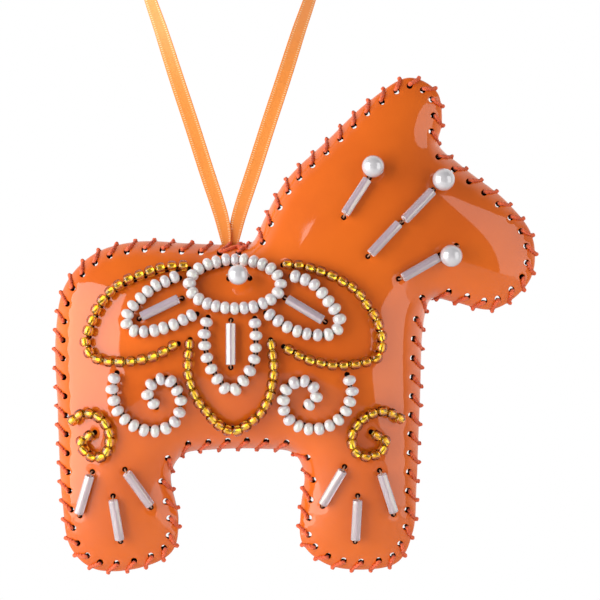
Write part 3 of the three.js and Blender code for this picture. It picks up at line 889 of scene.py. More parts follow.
def grain(board: Board, light: bpy.types.NodeSocket, deep: bpy.types.NodeSocket) -> Sockets:
    """Broad clouds of deeper colour, and a height of fine cells over waves and slow swells.

    Args:
        board: The node group to build in.
        light: The lighter colour.
        deep: The deeper colour.

    Returns:
        The mixed colour's socket and the height's.
    """
    place = board.place()
    clouds = board.spread(board.noise(place, 45.0, 3.0), 0.3, 0.75)
    cells = board.add("ShaderNodeTexVoronoi", feature="SMOOTH_F1", Scale=1900.0, Smoothness=0.7)
    board.link(place, cells.inputs["Vector"])
    waves = board.noise(place, 170.0, 2.0)
    swells = board.work("MULTIPLY", board.noise(place, 55.0, 1.0), 12.0)
    fine = board.work("MULTIPLY", cells.outputs["Distance"], 0.18)
    return board.mix(clouds, light, deep), board.work("ADD", fine, board.work("ADD", waves, swells))


def ply(board: Board, light: bpy.types.NodeSocket, deep: bpy.types.NodeSocket) -> Sockets:
    """Light and deep stripes that wind round the thread, and fine hairs.

    Args:
        board: The node group to build in.
        light: The lighter colour.
        deep: The deeper colour.

    Returns:
        The mixed colour's socket and the height's.
    """
    along, around = board.lie()
    winding = board.work("ADD", board.work("MULTIPLY", along, 9.0), board.work("MULTIPLY", around, 37.7))
    stripes = board.spread(board.work("SINE", winding), -0.4, 0.9)
    hairs = board.noise(board.place(), 9000.0, 2.0)
    share = board.work("MULTIPLY", board.work("ADD", stripes, 0.5), board.work("ADD", hairs, 0.3))
    return board.mix(share, deep, light), board.work("ADD", stripes, hairs)


def weave(board: Board, light: bpy.types.NodeSocket, deep: bpy.types.NodeSocket) -> Sockets:
    """Fine cross ribs, with a pale ladder beside each edge.

    Args:
        board: The node group to build in.
        light: The lighter colour.
        deep: The deeper colour.

    Returns:
        The mixed colour's socket and the height's.
    """
    along, sideways = board.lie()
    ribs = board.work("SINE", board.work("MULTIPLY", along, 13.0))
    across = board.work("ABSOLUTE", sideways)
    ladder = board.work("MULTIPLY", board.spread(across, 0.52, 0.62), board.spread(across, 0.9, 0.78))
    rungs = board.work("MULTIPLY", ladder, board.spread(ribs, -0.2, 0.8))
    threads = board.work("SINE", board.work("MULTIPLY", sideways, 60.0))
    edge = board.spread(across, 0.88, 0.99)
    streaks = board.noise(board.place(), 260.0, 3.0)
    dark = board.work("MAXIMUM", edge, board.work("MULTIPLY", streaks, 0.45))
    lit = board.mix(board.work("MULTIPLY", rungs, 0.85), board.mix(dark, light, deep), (1.0, 0.64, 0.34))
    fine = board.work("ADD", board.work("MULTIPLY", ribs, 0.5), board.work("MULTIPLY", threads, 0.25))
    return lit, board.work("ADD", fine, rungs)


def bloom(board: Board, light: bpy.types.NodeSocket, deep: bpy.types.NodeSocket) -> Sockets:
    """A tint for each bead, clouded a little over its surface.

    Args:
        board: The node group to build in.
        light: The lighter colour.
        deep: The deeper colour.

    Returns:
        The mixed colour's socket and the height's.
    """
    tint = board.add("ShaderNodeAttribute", attribute_name="tint").outputs["Fac"]
    cloud = board.noise(board.place(), 700.0, 2.0)
    share = board.spread(board.work("ADD", board.work("MULTIPLY", tint, 0.5), cloud), 0.35, 1.05)
    return board.mix(share, light, deep), cloud


def build_effects() -> dict[Effect, bpy.types.NodeTree]:
    """Makes each shared effect once.

    Returns:
        The node groups by effect.
    """
    recipes = {Effect.GRAIN: grain, Effect.PLY: ply, Effect.WEAVE: weave, Effect.BLOOM: bloom}
    groups = {}
    for effect, recipe in recipes.items():
        tree = bpy.data.node_groups.new(effect.value, "ShaderNodeTree")
        for name in ("Light", "Deep"):
            tree.interface.new_socket(name, in_out="INPUT", socket_type="NodeSocketColor")
        tree.interface.new_socket("Color", in_out="OUTPUT", socket_type="NodeSocketColor")
        tree.interface.new_socket("Height", in_out="OUTPUT", socket_type="NodeSocketFloat")
        board = Board(tree)
        given, result = board.add("NodeGroupInput"), board.add("NodeGroupOutput")
        made = recipe(board, given.outputs["Light"], given.outputs["Deep"])
        for source, name in zip(made, ("Color", "Height")):
            board.link(source, result.inputs[name])
        groups[effect] = tree
    return groups


@dataclass(frozen=True)
class Finish:
    """One finish: its colouring effect, bump, painted rim light and shade, and the shader's own numbers."""

    name: str
    effect: Effect
    light: Colour
    deep: Colour
    roughness: float
    bump: float = 0.0
    bump_depth: float = 0.0001
    coat: float = 0.0
    coat_roughness: float = 0.03
    coat_ior: float = 1.5
    specular: float = 0.5
    metallic: float = 0.0
    transmission: float = 0.0
    sheen: float = 0.0
    film: float = 0.0
    # Rim colour painted in edge-on: painted shade on amber and pearls, painted sheen on cream and lilac
    # glass.
    painted_rim_tone: Colour | None = None

    def make(self, effects: dict[Effect, bpy.types.NodeTree]) -> bpy.types.Material:
        """Builds the material.

        Args:
            effects: The shared node groups.

        Returns:
            The material.
        """
        material = bpy.data.materials.new(self.name)
        material.use_nodes = True
        board = Board(material.node_tree)
        shader = material.node_tree.nodes["Principled BSDF"]
        group = board.add("ShaderNodeGroup", node_tree=effects[self.effect])
        group.inputs["Light"].default_value = (*self.light, 1.0)
        group.inputs["Deep"].default_value = (*self.deep, 1.0)
        colour = group.outputs["Color"]
        # Painted light and shade: the colour turns to the rim colour as the surface turns away from the view.
        if self.painted_rim_tone:
            facing = board.add("ShaderNodeLayerWeight", Blend=0.5).outputs["Facing"]
            colour = board.mix(board.spread(facing, 0.2, 0.85), colour, self.painted_rim_tone)
        board.link(colour, shader.inputs["Base Color"])
        if self.bump:
            bump = board.add("ShaderNodeBump", Strength=self.bump, Distance=self.bump_depth)
            board.link(group.outputs["Height"], bump.inputs["Height"])
            board.link(bump.outputs["Normal"], shader.inputs["Normal"])
        numbers = {
            "Roughness": self.roughness, "Coat Weight": self.coat, "Coat Roughness": self.coat_roughness,
            "Coat IOR": self.coat_ior, "Specular IOR Level": self.specular, "Metallic": self.metallic,
            "Transmission Weight": self.transmission, "Sheen Weight": self.sheen,
            "Thin Film Thickness": self.film,
        }
        for socket, value in numbers.items():
            shader.inputs[socket].default_value = value
        return material


class Finishes(Enum):
    """Every finish on the ornament."""

    PATENT = Finish(
        "patent_leather", Effect.GRAIN, (0.82, 0.152, 0.009), (0.70, 0.118, 0.006), 0.5, bump=0.16, coat=1.0,
        bump_depth=0.0002, coat_roughness=0.045, specular=0.08)
    # Painted shade: the cut edges, which are also every punched hole's walls, are coloured dark so the holes
    # read as shaded.
    CUT_EDGE = Finish("cut_leather_edge", Effect.GRAIN, (0.30, 0.05, 0.012), (0.10, 0.012, 0.004), 0.75,
                      bump=0.5)
    # Painted shade: the inner flesh side is coloured dark so that it reads as shaded inside the holes.
    FLESH = Finish("leather_flesh_side", Effect.GRAIN, (0.16, 0.045, 0.02), (0.07, 0.018, 0.01), 0.95,
                   bump=0.8)
    # Painted shade: the wadding is coloured near black so that the punched holes read as shaded.
    WADDING = Finish("wadding_painted_dark_as_shade", Effect.GRAIN, (0.05, 0.018, 0.014), (0.012, 0.004, 0.004), 1.0, bump=1.0,
                     bump_depth=0.0006, sheen=0.2)
    RIM_THREAD = Finish("rim_thread", Effect.PLY, (1.0, 0.165, 0.045), (0.66, 0.080, 0.020), 0.7, bump=0.3,
                        bump_depth=0.00012, sheen=0.25)
    PALE_THREAD = Finish("pale_sewing_thread", Effect.PLY, (0.52, 0.30, 0.20), (0.30, 0.15, 0.09), 0.6,
                         bump=0.3)
    AMBER_THREAD = Finish("amber_sewing_thread", Effect.PLY, (0.30, 0.06, 0.006), (0.10, 0.015, 0.003), 0.6,
                          bump=0.3)
    SATIN = Finish("satin_ribbon", Effect.WEAVE, (0.97, 0.325, 0.055), (0.88, 0.235, 0.028), 0.45, bump=0.2,
                   bump_depth=0.00006, sheen=0.2, specular=0.4)
    # Amber glass: its rims are painted dark red as painted shade.
    AMBER = Finish("amber_glass", Effect.BLOOM, (0.99, 0.67, 0.07), (0.96, 0.54, 0.04), 0.02, coat=0.4,
                   transmission=1.0, painted_rim_tone=(0.50, 0.07, 0.004))
    LINING = Finish("silver_lining", Effect.BLOOM, (1.0, 0.93, 0.48), (1.0, 0.85, 0.34), 0.26, metallic=0.9)
    # Cream glass: its rims are painted pale ivory as a painted sheen.
    CREAM = Finish("cream_pearl_glass", Effect.BLOOM, (0.80, 0.74, 0.70), (0.66, 0.58, 0.62), 0.2, bump=0.08,
                   bump_depth=0.0003, coat=1.0, coat_roughness=0.05, specular=0.8, film=420.0, coat_ior=1.9,
                   painted_rim_tone=(0.95, 0.88, 0.78))
    # Lilac bugle glass: its rims are painted near white as a painted sheen.
    LILAC = Finish("lilac_bugle_glass", Effect.BLOOM, (0.90, 0.76, 0.80), (0.80, 0.66, 0.74), 0.06, coat=1.0,
                   transmission=0.6, specular=0.8, film=450.0, coat_ior=2.0, painted_rim_tone=(1.0, 0.96, 0.96))
    BUGLE_BORE = Finish("bugle_bore", Effect.BLOOM, (0.95, 0.88, 0.90), (0.86, 0.78, 0.82), 0.3)
    # White pearls: their rims are painted darker grey as painted shade.
    PEARL = Finish("white_pearl", Effect.BLOOM, (0.70, 0.67, 0.68), (0.60, 0.58, 0.60), 0.24, coat=1.0,
                   coat_roughness=0.06, specular=0.8, coat_ior=2.0, painted_rim_tone=(0.55, 0.52, 0.54))


@dataclass
class Workshop:
    """Makes each finish once and hands it out, and puts finished pieces on their bodies."""

    effects: dict[Effect, bpy.types.NodeTree] = field(default_factory=build_effects)
    made: dict[Finishes, bpy.types.Material] = field(default_factory=dict)

    def finish(self, which: Finishes) -> bpy.types.Material:
        """The material of a finish.

        Args:
            which: The finish.

        Returns:
            Its material, made on first use.
        """
        if which not in self.made:
            self.made[which] = which.value.make(self.effects)
        return self.made[which]

    def piece(
        self, name: str, surface: Surface, finishes: list[Finishes], slot: str,
        stands_for: tuple[str, ...] = (), body: str | None = "horse",
    ) -> bpy.types.Object:
        """Places a piece, gives it its finishes and, when a body is named, puts it on that body.

        Args:
            name: The piece's name.
            surface: Its shape.
            finishes: Its finishes in slot order.
            slot: The record's material slot; not used.
            stands_for: The CAD nodes that it replaces.
            body: The body that it rides on, or None.

        Returns:
            The object.
        """
        made = surface.place(name, [self.finish(f) for f in finishes])
        if stands_for:
            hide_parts(*stands_for)
        if body:
            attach(made, body)
        LOG.info("%s: %d points, %d faces", name, len(made.data.vertices), len(made.data.polygons))
        return made


# ------------------------------------------------------------------ the embroidery's plan

@dataclass(frozen=True)
class SeedBead:
    """The size of one kind of seed bead."""

    diameter: float
    length: float
    bore: float


@dataclass
class BeadString:
    """One string of seed beads sewn to the front panel."""

    name: str
    bead: SeedBead
    count: int
    route: Line
    ring: bool = False
    squareness: float = 2.2

    @property
    def spacing(self) -> float:
        """The length along the route from bead to bead."""
        return self.route.length / (self.count if self.ring else self.count - 1)

    def bead_places(self) -> Array:
        """The x and z of each bead's middle."""
        return self.route.at(np.arange(self.count) * self.spacing)

    def hole_places(self, skin: PuffedSkin) -> Array:
        """The x and z of each punched hole: at the leather under the middle of each gap between two beads.

        Args:
            skin: The leather's height.

        Returns:
            Rows of x and z.
        """
        gaps = np.arange(self.count) + 0.5 if self.ring else np.arange(-1, self.count) + 0.5
        return skin.feet(self.route.at(gaps * self.spacing), self.bead.diameter / 2)


@dataclass
class Embroidery:
    """Every string, bugle and pearl, and where the leather is punched for them."""

    skin: PuffedSkin
    gold: SeedBead = SeedBead(2.45, 2.25, 1.05)
    cream: SeedBead = SeedBead(2.9, 2.2, 0.8)
    bugle_length: float = 9.0
    bugle_diameter: float = 2.3
    bugle_bore: float = 1.05
    pearl_diameter: float = 4.9
    rosette_diameter: float = 4.5
    pearl_bore: float = 0.9
    thread_radius: float = 0.17
    hole_radius: float = 0.58
    stitch_reach: float = 0.75
    looseness: float = 0.05
    clearance: float = 0.08
    apart: float = 2.75

    def __post_init__(self) -> None:
        """Lays each string out."""
        self.gold_strings = [
            BeadString(name, self.gold, count, Line(smooth_line(to_scale(through))), squareness=2.7)
            for name, (count, through) in GOLD_STRINGS.items()
        ]
        self.cream_strings = [
            BeadString(name, self.cream, count, Line(smooth_line(to_scale(through))))
            for name, (count, through) in CREAM_STRINGS.items()
        ]
        x, z, half_width, half_height = ROSETTE
        angle = 2 * np.pi * (np.arange(16) / 16 + 0.25)
        around = to_scale(np.stack([x + half_width * np.cos(angle), z + half_height * np.sin(angle)], -1))
        ring = Line(smooth_line(around, closed=True), closed=True)
        self.cream_strings.append(BeadString("rosette", self.cream, ROSETTE_COUNT, ring, ring=True))

    def single(
        self, drawn: tuple[float, ...], radius: float, half: float, lift: float = 0.0,
    ) -> tuple[Array, Array]:
        """Where a bead sewn down by itself lies.

        Args:
            drawn: Its middle's x and z, and its angle in degrees.
            radius: The bead's radius.
            half: Half its length.
            lift: How far it stands off the leather.

        Returns:
            Its middle, and the unit vector of its bore, tilted with the leather.
        """
        middle = to_scale(np.array([drawn[:2]]))
        angle = math.radians(drawn[2])
        way = np.array([math.cos(angle), math.sin(angle)])
        stations = np.linspace(-half, half, 7)
        heights = self.skin.outer(middle + stations[:, None] * way)
        slope = (heights[-1] - heights[0]) / (2 * half)
        proud = (heights - slope * stations).max()
        lean = 1 / -self.skin.outward(middle)[0, 1]
        place = stood(middle[0], -proud - (radius + self.clearance) * lean - lift)
        return place, unit(np.array([way[0], -slope, way[1]]))

    def singles(self) -> dict[str, tuple[Array, Array, float, float, Array]]:
        """Every bugle and pearl: its middle, its bore's way, its radius, half its length and its feet.

        Returns:
            The five values by the name of the CAD node.
        """
        found = {}
        for name, drawn in BUGLES.items():
            radius, half = self.bugle_diameter / 2, self.bugle_length / 2
            feet = np.array([-1.0, 1.0]) * (half + self.stitch_reach)
            found[f"bugle_{name}"] = (*self.single(drawn, radius, half), radius, half, feet)
        for name, (x, z, angle, lift, shares) in PEARLS.items():
            radius = (self.rosette_diameter if lift else self.pearl_diameter) / 2
            feet = np.array([-1.0, 1.0]) * radius * np.array(shares)
            found[f"pearl_{name}"] = (*self.single((x, z, angle), radius, radius, lift), radius, radius, feet)
        return found

    def holes(self) -> Array:
        """All holes for the beads, leaving out any that would run into another.

        Returns:
            Rows of x and z.
        """
        places = [string.hole_places(self.skin) for string in (*self.gold_strings, *self.cream_strings)]
        for middle, way, radius, _, feet in self.singles().values():
            ends = middle + feet[:, None] * way
            places.append(self.skin.feet(ends[:, [0, 2]], radius * 0.8))
        kept: list[Array] = []
        for place in np.concatenate(places):
            if all(math.dist(place, other) > self.apart * self.hole_radius for other in kept):
                kept.append(place)
        return np.array(kept)


# ------------------------------------------------------------------ sub-assemblies

def filled(loops: list[Array], loose: Array) -> tuple[Array, Array, Array]:
    """Triangles over the plane through loops of corners, which stay edges, and loose points.

    Args:
        loops: Closed loops as rows of x and z.
        loose: Points between them.

    Returns:
        The points, the triangles, and which given point each one is.
    """
    starts = np.concatenate([[0], np.cumsum([len(loop) for loop in loops])])
    edges = np.concatenate([
        start + np.stack([np.arange(len(loop)), (np.arange(len(loop)) + 1) % len(loop)], -1)
        for start, loop in zip(starts, loops)
    ])
    given = np.vstack([*loops, loose])
    made = delaunay_2d_cdt([Vector(p) for p in given.tolist()], edges.tolist(), [], 0, 1e-6)
    points = np.array([tuple(p) for p in made[0]])
    origin = np.array([sources[0] if sources else -1 for sources in made[3]])
    return points, np.array(made[2]), origin


def lattice(outline: Outline, pitch: float, inset: float) -> Array:
    """A triangular grid of points this far apart, inside the edge by more than the inset.

    Args:
        outline: The edge.
        pitch: The distance between neighbours.
        inset: How far inside the edge the grid ends.

    Returns:
        Rows of x and z.
    """
    low, high = outline.points.min(0), outline.points.max(0)
    rows = np.arange(low[1], high[1], pitch * math.sqrt(0.75))
    columns = np.arange(low[0], high[0], pitch)
    x = columns[None] + (np.arange(len(rows)) % 2)[:, None] * pitch / 2
    grid = np.column_stack([x.ravel(), np.broadcast_to(rows[:, None], x.shape).ravel()])
    return grid[outline.depth(grid)[0] > inset]


def trimmed(points: Array, triangles: Array) -> tuple[Array, Array]:
    """Leaves out the points that no triangle uses, and turns every triangle the same way.

    Args:
        points: Rows of x and z.
        triangles: Rows of three point numbers.

    Returns:
        The old numbers of the points that stay, and the triangles in new numbers.
    """
    used = np.unique(triangles)
    number = np.zeros(len(points), int)
    number[used] = np.arange(len(used))
    corner = points[triangles]
    first, second = corner[:, 1] - corner[:, 0], corner[:, 2] - corner[:, 0]
    clockwise = first[:, 0] * second[:, 1] - first[:, 1] * second[:, 0] < 0
    triangles = number[triangles]
    triangles[clockwise] = triangles[clockwise][:, ::-1]
    return used, triangles


def closed_faces(triangles: Array, count: int) -> list[Array]:
    """The faces of a slab, whose front uses these triangles and whose back the same with numbers moved on.

    Args:
        triangles: The front's triangles.
        count: How many points the front has.

    Returns:
        The front, the back and the walls between their open edges.
    """
    sides = np.concatenate([triangles[:, [0, 1]], triangles[:, [1, 2]], triangles[:, [2, 0]]])
    code, back = sides[:, 0] * count + sides[:, 1], sides[:, 1] * count + sides[:, 0]
    rim = sides[~np.isin(code, back)]
    walls = np.stack([rim[:, 1], rim[:, 0], rim[:, 0] + count, rim[:, 1] + count], -1)
    return [triangles, triangles[:, ::-1] + count, walls]


class Side(Enum):
    """Which side of the seam a panel is on, as the sign of its y."""

    FRONT = -1
    BACK = 1


@dataclass
class LeatherPanel:
    """One puffed, punched panel of patent leather with softened cut edges."""

    side: Side
    skin: PuffedSkin
    rim_hole_radius: float = 0.66
    back_hole_shift: float = 0.6
    softness: float = 0.15
    mesh_pitch: float = 0.82
    hole_corners: int = 14
    leaning: float = 0.9

    def build(self, bead_holes: Array, bead_hole_radius: float) -> Surface:
        """Tiles the panel and lifts it to its two faces.

        The plane inside the outline and outside the holes is tiled with triangles. The outer face stands at
        the skin's height and the inner face one thickness behind it; walls close the edge and each hole. The
        rim of every cut is lowered a little and its normal leans over the edge, so that it reads as rounded.

        Args:
            bead_holes: The middles of the holes for beads, none on the back.
            bead_hole_radius: Their radius.

        Returns:
            The closed panel: outer face, inner face and walls as slots 0, 1 and 2.
        """
        outline = self.skin.outline
        along = np.arange(outline.stitches * 8) / 8 * outline.pitch
        edge = outline.beside(along, 0.0)
        loops = [edge, outline.beside(along, -2 * self.softness)]
        outward = unit(edge - outline.beside(along, -1.0))
        leaning = [outward, np.zeros_like(edge)]
        rim_holes = outline.hole_centres()
        if self.side is Side.BACK:
            along = (np.arange(outline.stitches) + 0.5) * outline.pitch
            inwards = unit(outline.beside(along, -1.0) - outline.beside(along, 0.0))
            chance = np.random.default_rng(17).normal(1.0, 0.45, (outline.stitches, 1))
            rim_holes = rim_holes + self.back_hole_shift * chance * inwards
        groups = [(rim_holes, self.rim_hole_radius)]
        if len(bead_holes):
            groups.append((bead_holes, bead_hole_radius))
        for centres, radius in groups:
            for reach, lean in ((radius, -1.0), (radius + self.softness, 0.0)):
                loops += list(centres[:, None] + circle(reach, self.hole_corners))
                leaning += [lean * circle(1.0, self.hole_corners)] * len(centres)
        centres = np.concatenate([c for c, _ in groups])
        radii = np.concatenate([np.full(len(c), r) for c, r in groups])
        points, triangles, origin = filled(loops, self._between(centres, radii))
        lean = np.vstack([*leaning, np.zeros((len(points), 2))])[np.maximum(origin, 0)]
        middle = points[triangles].mean(1)
        hole, squared = nearest(middle, centres)
        chord = 0.965  # how near a triangle's middle may come to a hole's, in radii
        kept = (outline.depth(middle)[0] > 0) & (np.sqrt(squared) > radii[hole] * chord)
        return self._raised(points, triangles[kept], lean)

    def _between(self, centres: Array, radii: Array) -> Array:
        """A grid of points that keeps clear of the edge and the holes.

        Args:
            centres: The holes' middles.
            radii: Their radii.

        Returns:
            Rows of x and z.
        """
        from_edge, from_hole = 0.45 * self.mesh_pitch, 0.35 * self.mesh_pitch
        grid = lattice(self.skin.outline, self.mesh_pitch, 2 * self.softness + from_edge)
        hole, squared = nearest(grid, centres)
        return grid[np.sqrt(squared) > radii[hole] + self.softness + from_hole]

    def _raised(self, points: Array, triangles: Array, lean: Array) -> Surface:
        """Lifts flat triangles to the outer and inner faces and closes them with walls.

        Args:
            points: Rows of x and z.
            triangles: Their triangles.
            lean: For a point on a cut, the way out of the leather there; zero elsewhere.

        Returns:
            The closed panel.
        """
        used, triangles = trimmed(points, triangles)
        points, lean = points[used], lean[used]
        on_cut = (lean**2).sum(1) > 0.5
        height = self.skin.outer(points, marked=True) - self.softness * on_cut
        out = self.skin.outward(points, marked=True)
        wall_way = stood(lean, 0.0)
        outer = stood(points, -height)
        inner = outer + np.array([0.0, self.skin.thickness - self.softness, 0.0])
        inner[~on_cut, 1] += self.softness
        faces = closed_faces(triangles, len(points))
        rounded = unit(out + self.leaning * wall_way)
        wall_normals = np.concatenate([wall_way, wall_way])[faces[2]]
        normals = [rounded[triangles], -out[triangles[:, ::-1]], wall_normals]
        both = np.concatenate([outer, inner])
        if self.side is Side.BACK:
            both = both * np.array([1.0, -1.0, 1.0])
            faces = [f[:, ::-1] for f in faces]
            normals = [n[:, ::-1] * np.array([1.0, -1.0, 1.0]) for n in normals]
        slots = np.repeat([0, 1, 2], [len(f) for f in faces])
        corner_normals = np.concatenate([n.reshape(-1, 3) for n in normals])
        return Surface(both, faces, corner_normals=corner_normals, slots=slots)


@dataclass
class Wadding:
    """The stuffing between the panels, a little smaller than the room they leave."""

    skin: PuffedSkin
    inset: float = 3.9
    slack: float = 0.45
    mesh_pitch: float = 1.6
    grid_margin: float = 0.7
    crossing_margin: float = 0.12
    sliver_margin: float = 0.05

    def build(self) -> Surface:
        """Fills the outline, set in, and lifts it to two faces under the panels' inner faces.

        Returns:
            The closed pad.
        """
        outline = self.skin.outline
        grid = lattice(outline, self.mesh_pitch, self.inset + self.grid_margin)
        edge = outline.beside(np.arange(outline.stitches * 3) / 3 * outline.pitch, -self.inset)
        edge = edge[outline.depth(edge)[0] > self.inset - self.crossing_margin]
        points, triangles, _ = filled([edge], grid)
        depth = outline.depth(points[triangles].mean(1))[0]
        used, triangles = trimmed(points, triangles[depth > self.inset - self.sliver_margin])
        points = points[used]
        height = self.skin.outer(points) - self.skin.thickness - self.slack
        both = np.concatenate([stood(points, -height), stood(points, height)])
        return Surface(both, closed_faces(triangles, len(points)))


@dataclass
class WhipStitching:
    """The two-ply thread that binds the rim, one stitch to each hole."""

    skin: PuffedSkin
    radius: float = 0.5
    rings_per_span: int = 4
    lay_length: float = 1.4
    hole_depth: float = 1.55
    standing: tuple[float, float] = (0.8, 0.82)
    sunk_in_hole: float = -0.15
    sunk_at_shoulder: float = -0.05
    past_edge: float = 0.38
    past_shoulder: float = 0.16

    def ply_section(self, sides: int = 12) -> Array:
        """Two strands side by side as one outline: each direction's reach over two offset circles.

        Args:
            sides: Points round the section.

        Returns:
            Rows of two values.
        """
        angle = full_turn(sides)
        offset, strand = 0.32 * self.radius, 0.66 * self.radius
        reach = offset * np.abs(np.cos(angle)) + np.sqrt(strand**2 - (offset * np.sin(angle)) ** 2)
        return reach[:, None] * circle(1.0, sides)

    def build(self) -> Surface:
        """Runs the thread out of each hole, over the edge half a pitch on, and down the back to the next.

        Returns:
            The closed thread.
        """
        outline = self.skin.outline
        hole_along = (np.arange(outline.stitches) + 0.5) * outline.pitch
        edge_along = hole_along + outline.pitch / 2
        hole, edge = outline.beside(hole_along, -self.hole_depth), outline.beside(edge_along, 0.0)
        following = np.roll(hole, -1, 0)
        over, shoulder = (outline.beside(edge_along, past) for past in (self.past_edge, self.past_shoulder))
        low, high = (share * self.radius for share in self.standing)

        def at(flat: Array, side: Side, clear: float) -> Array:
            """Points that stand clear of a face at each x and z."""
            return stood(flat, side.value * (self.skin.outer(flat, marked=True) + clear))

        # Up through the hole, over the front to the edge, round it, and over the back to the next hole.
        stations = [
            (stood(hole, 0.0), hole_along),
            (at(hole, Side.FRONT, self.sunk_in_hole), hole_along),
            (at(hole + 0.16 * (edge - hole), Side.FRONT, low), hole_along),
            (at(hole + 0.58 * (edge - hole), Side.FRONT, high), hole_along),
            (at(shoulder, Side.FRONT, self.sunk_at_shoulder), edge_along),
            (stood(over, 0.0), edge_along),
            (at(shoulder, Side.BACK, self.sunk_at_shoulder), edge_along),
            (at(edge + 0.42 * (following - edge), Side.BACK, high), edge_along),
            (at(edge + 0.84 * (following - edge), Side.BACK, low), edge_along),
            (at(following, Side.BACK, self.sunk_in_hole), edge_along),
        ]
        control = [np.hstack([place, outline.heading(along)]) for place, along in stations]
        path = smooth_line(np.stack(control, 1).reshape(-1, 5), closed=True, steps=self.rings_per_span)[:-1]
        middle, side = path[:, :3], stood(path[:, 3:], 0.0)
        steps = np.linalg.norm(np.diff(middle, axis=0, append=middle[:1]), axis=1)
        length = np.concatenate([[0], np.cumsum(steps)[:-1]])
        turns = round(steps.sum() / self.lay_length)
        turn = 2 * np.pi * turns * length / steps.sum()
        return swept(middle, side, self.ply_section(), closed=True, turn=turn)

    def closing_stitch(self) -> Surface:
        """The last stitch: across the ribbon's foot on the front, knotted off beside it.

        Returns:
            The stitch, with both ends under the leather.
        """
        flat = np.array([
            (-2.1, -1.9), (-1.2, -1.75), (0.4, -1.15), (1.9, -0.75), (2.7, -0.95), (3.0, -0.35), (2.3, -0.1),
            (1.9, -0.65), (2.6, -1.2), (3.3, -0.9), (3.6, -1.5)])
        clear = np.array([-0.3, 0.35, 0.5, 0.45, 0.4, 0.55, 0.75, 0.9, 0.8, 0.5, -0.3]) * self.radius * 2
        middle = smooth_line(stood(flat, -self.skin.outer(flat, marked=True) - clear), steps=8)
        side = np.broadcast_to(np.array([0.3, -1.0, 0.2]), middle.shape)
        turn = 2 * np.pi * lengths_along(middle) / self.lay_length
        return swept(middle, side, self.ply_section(), turn=turn)


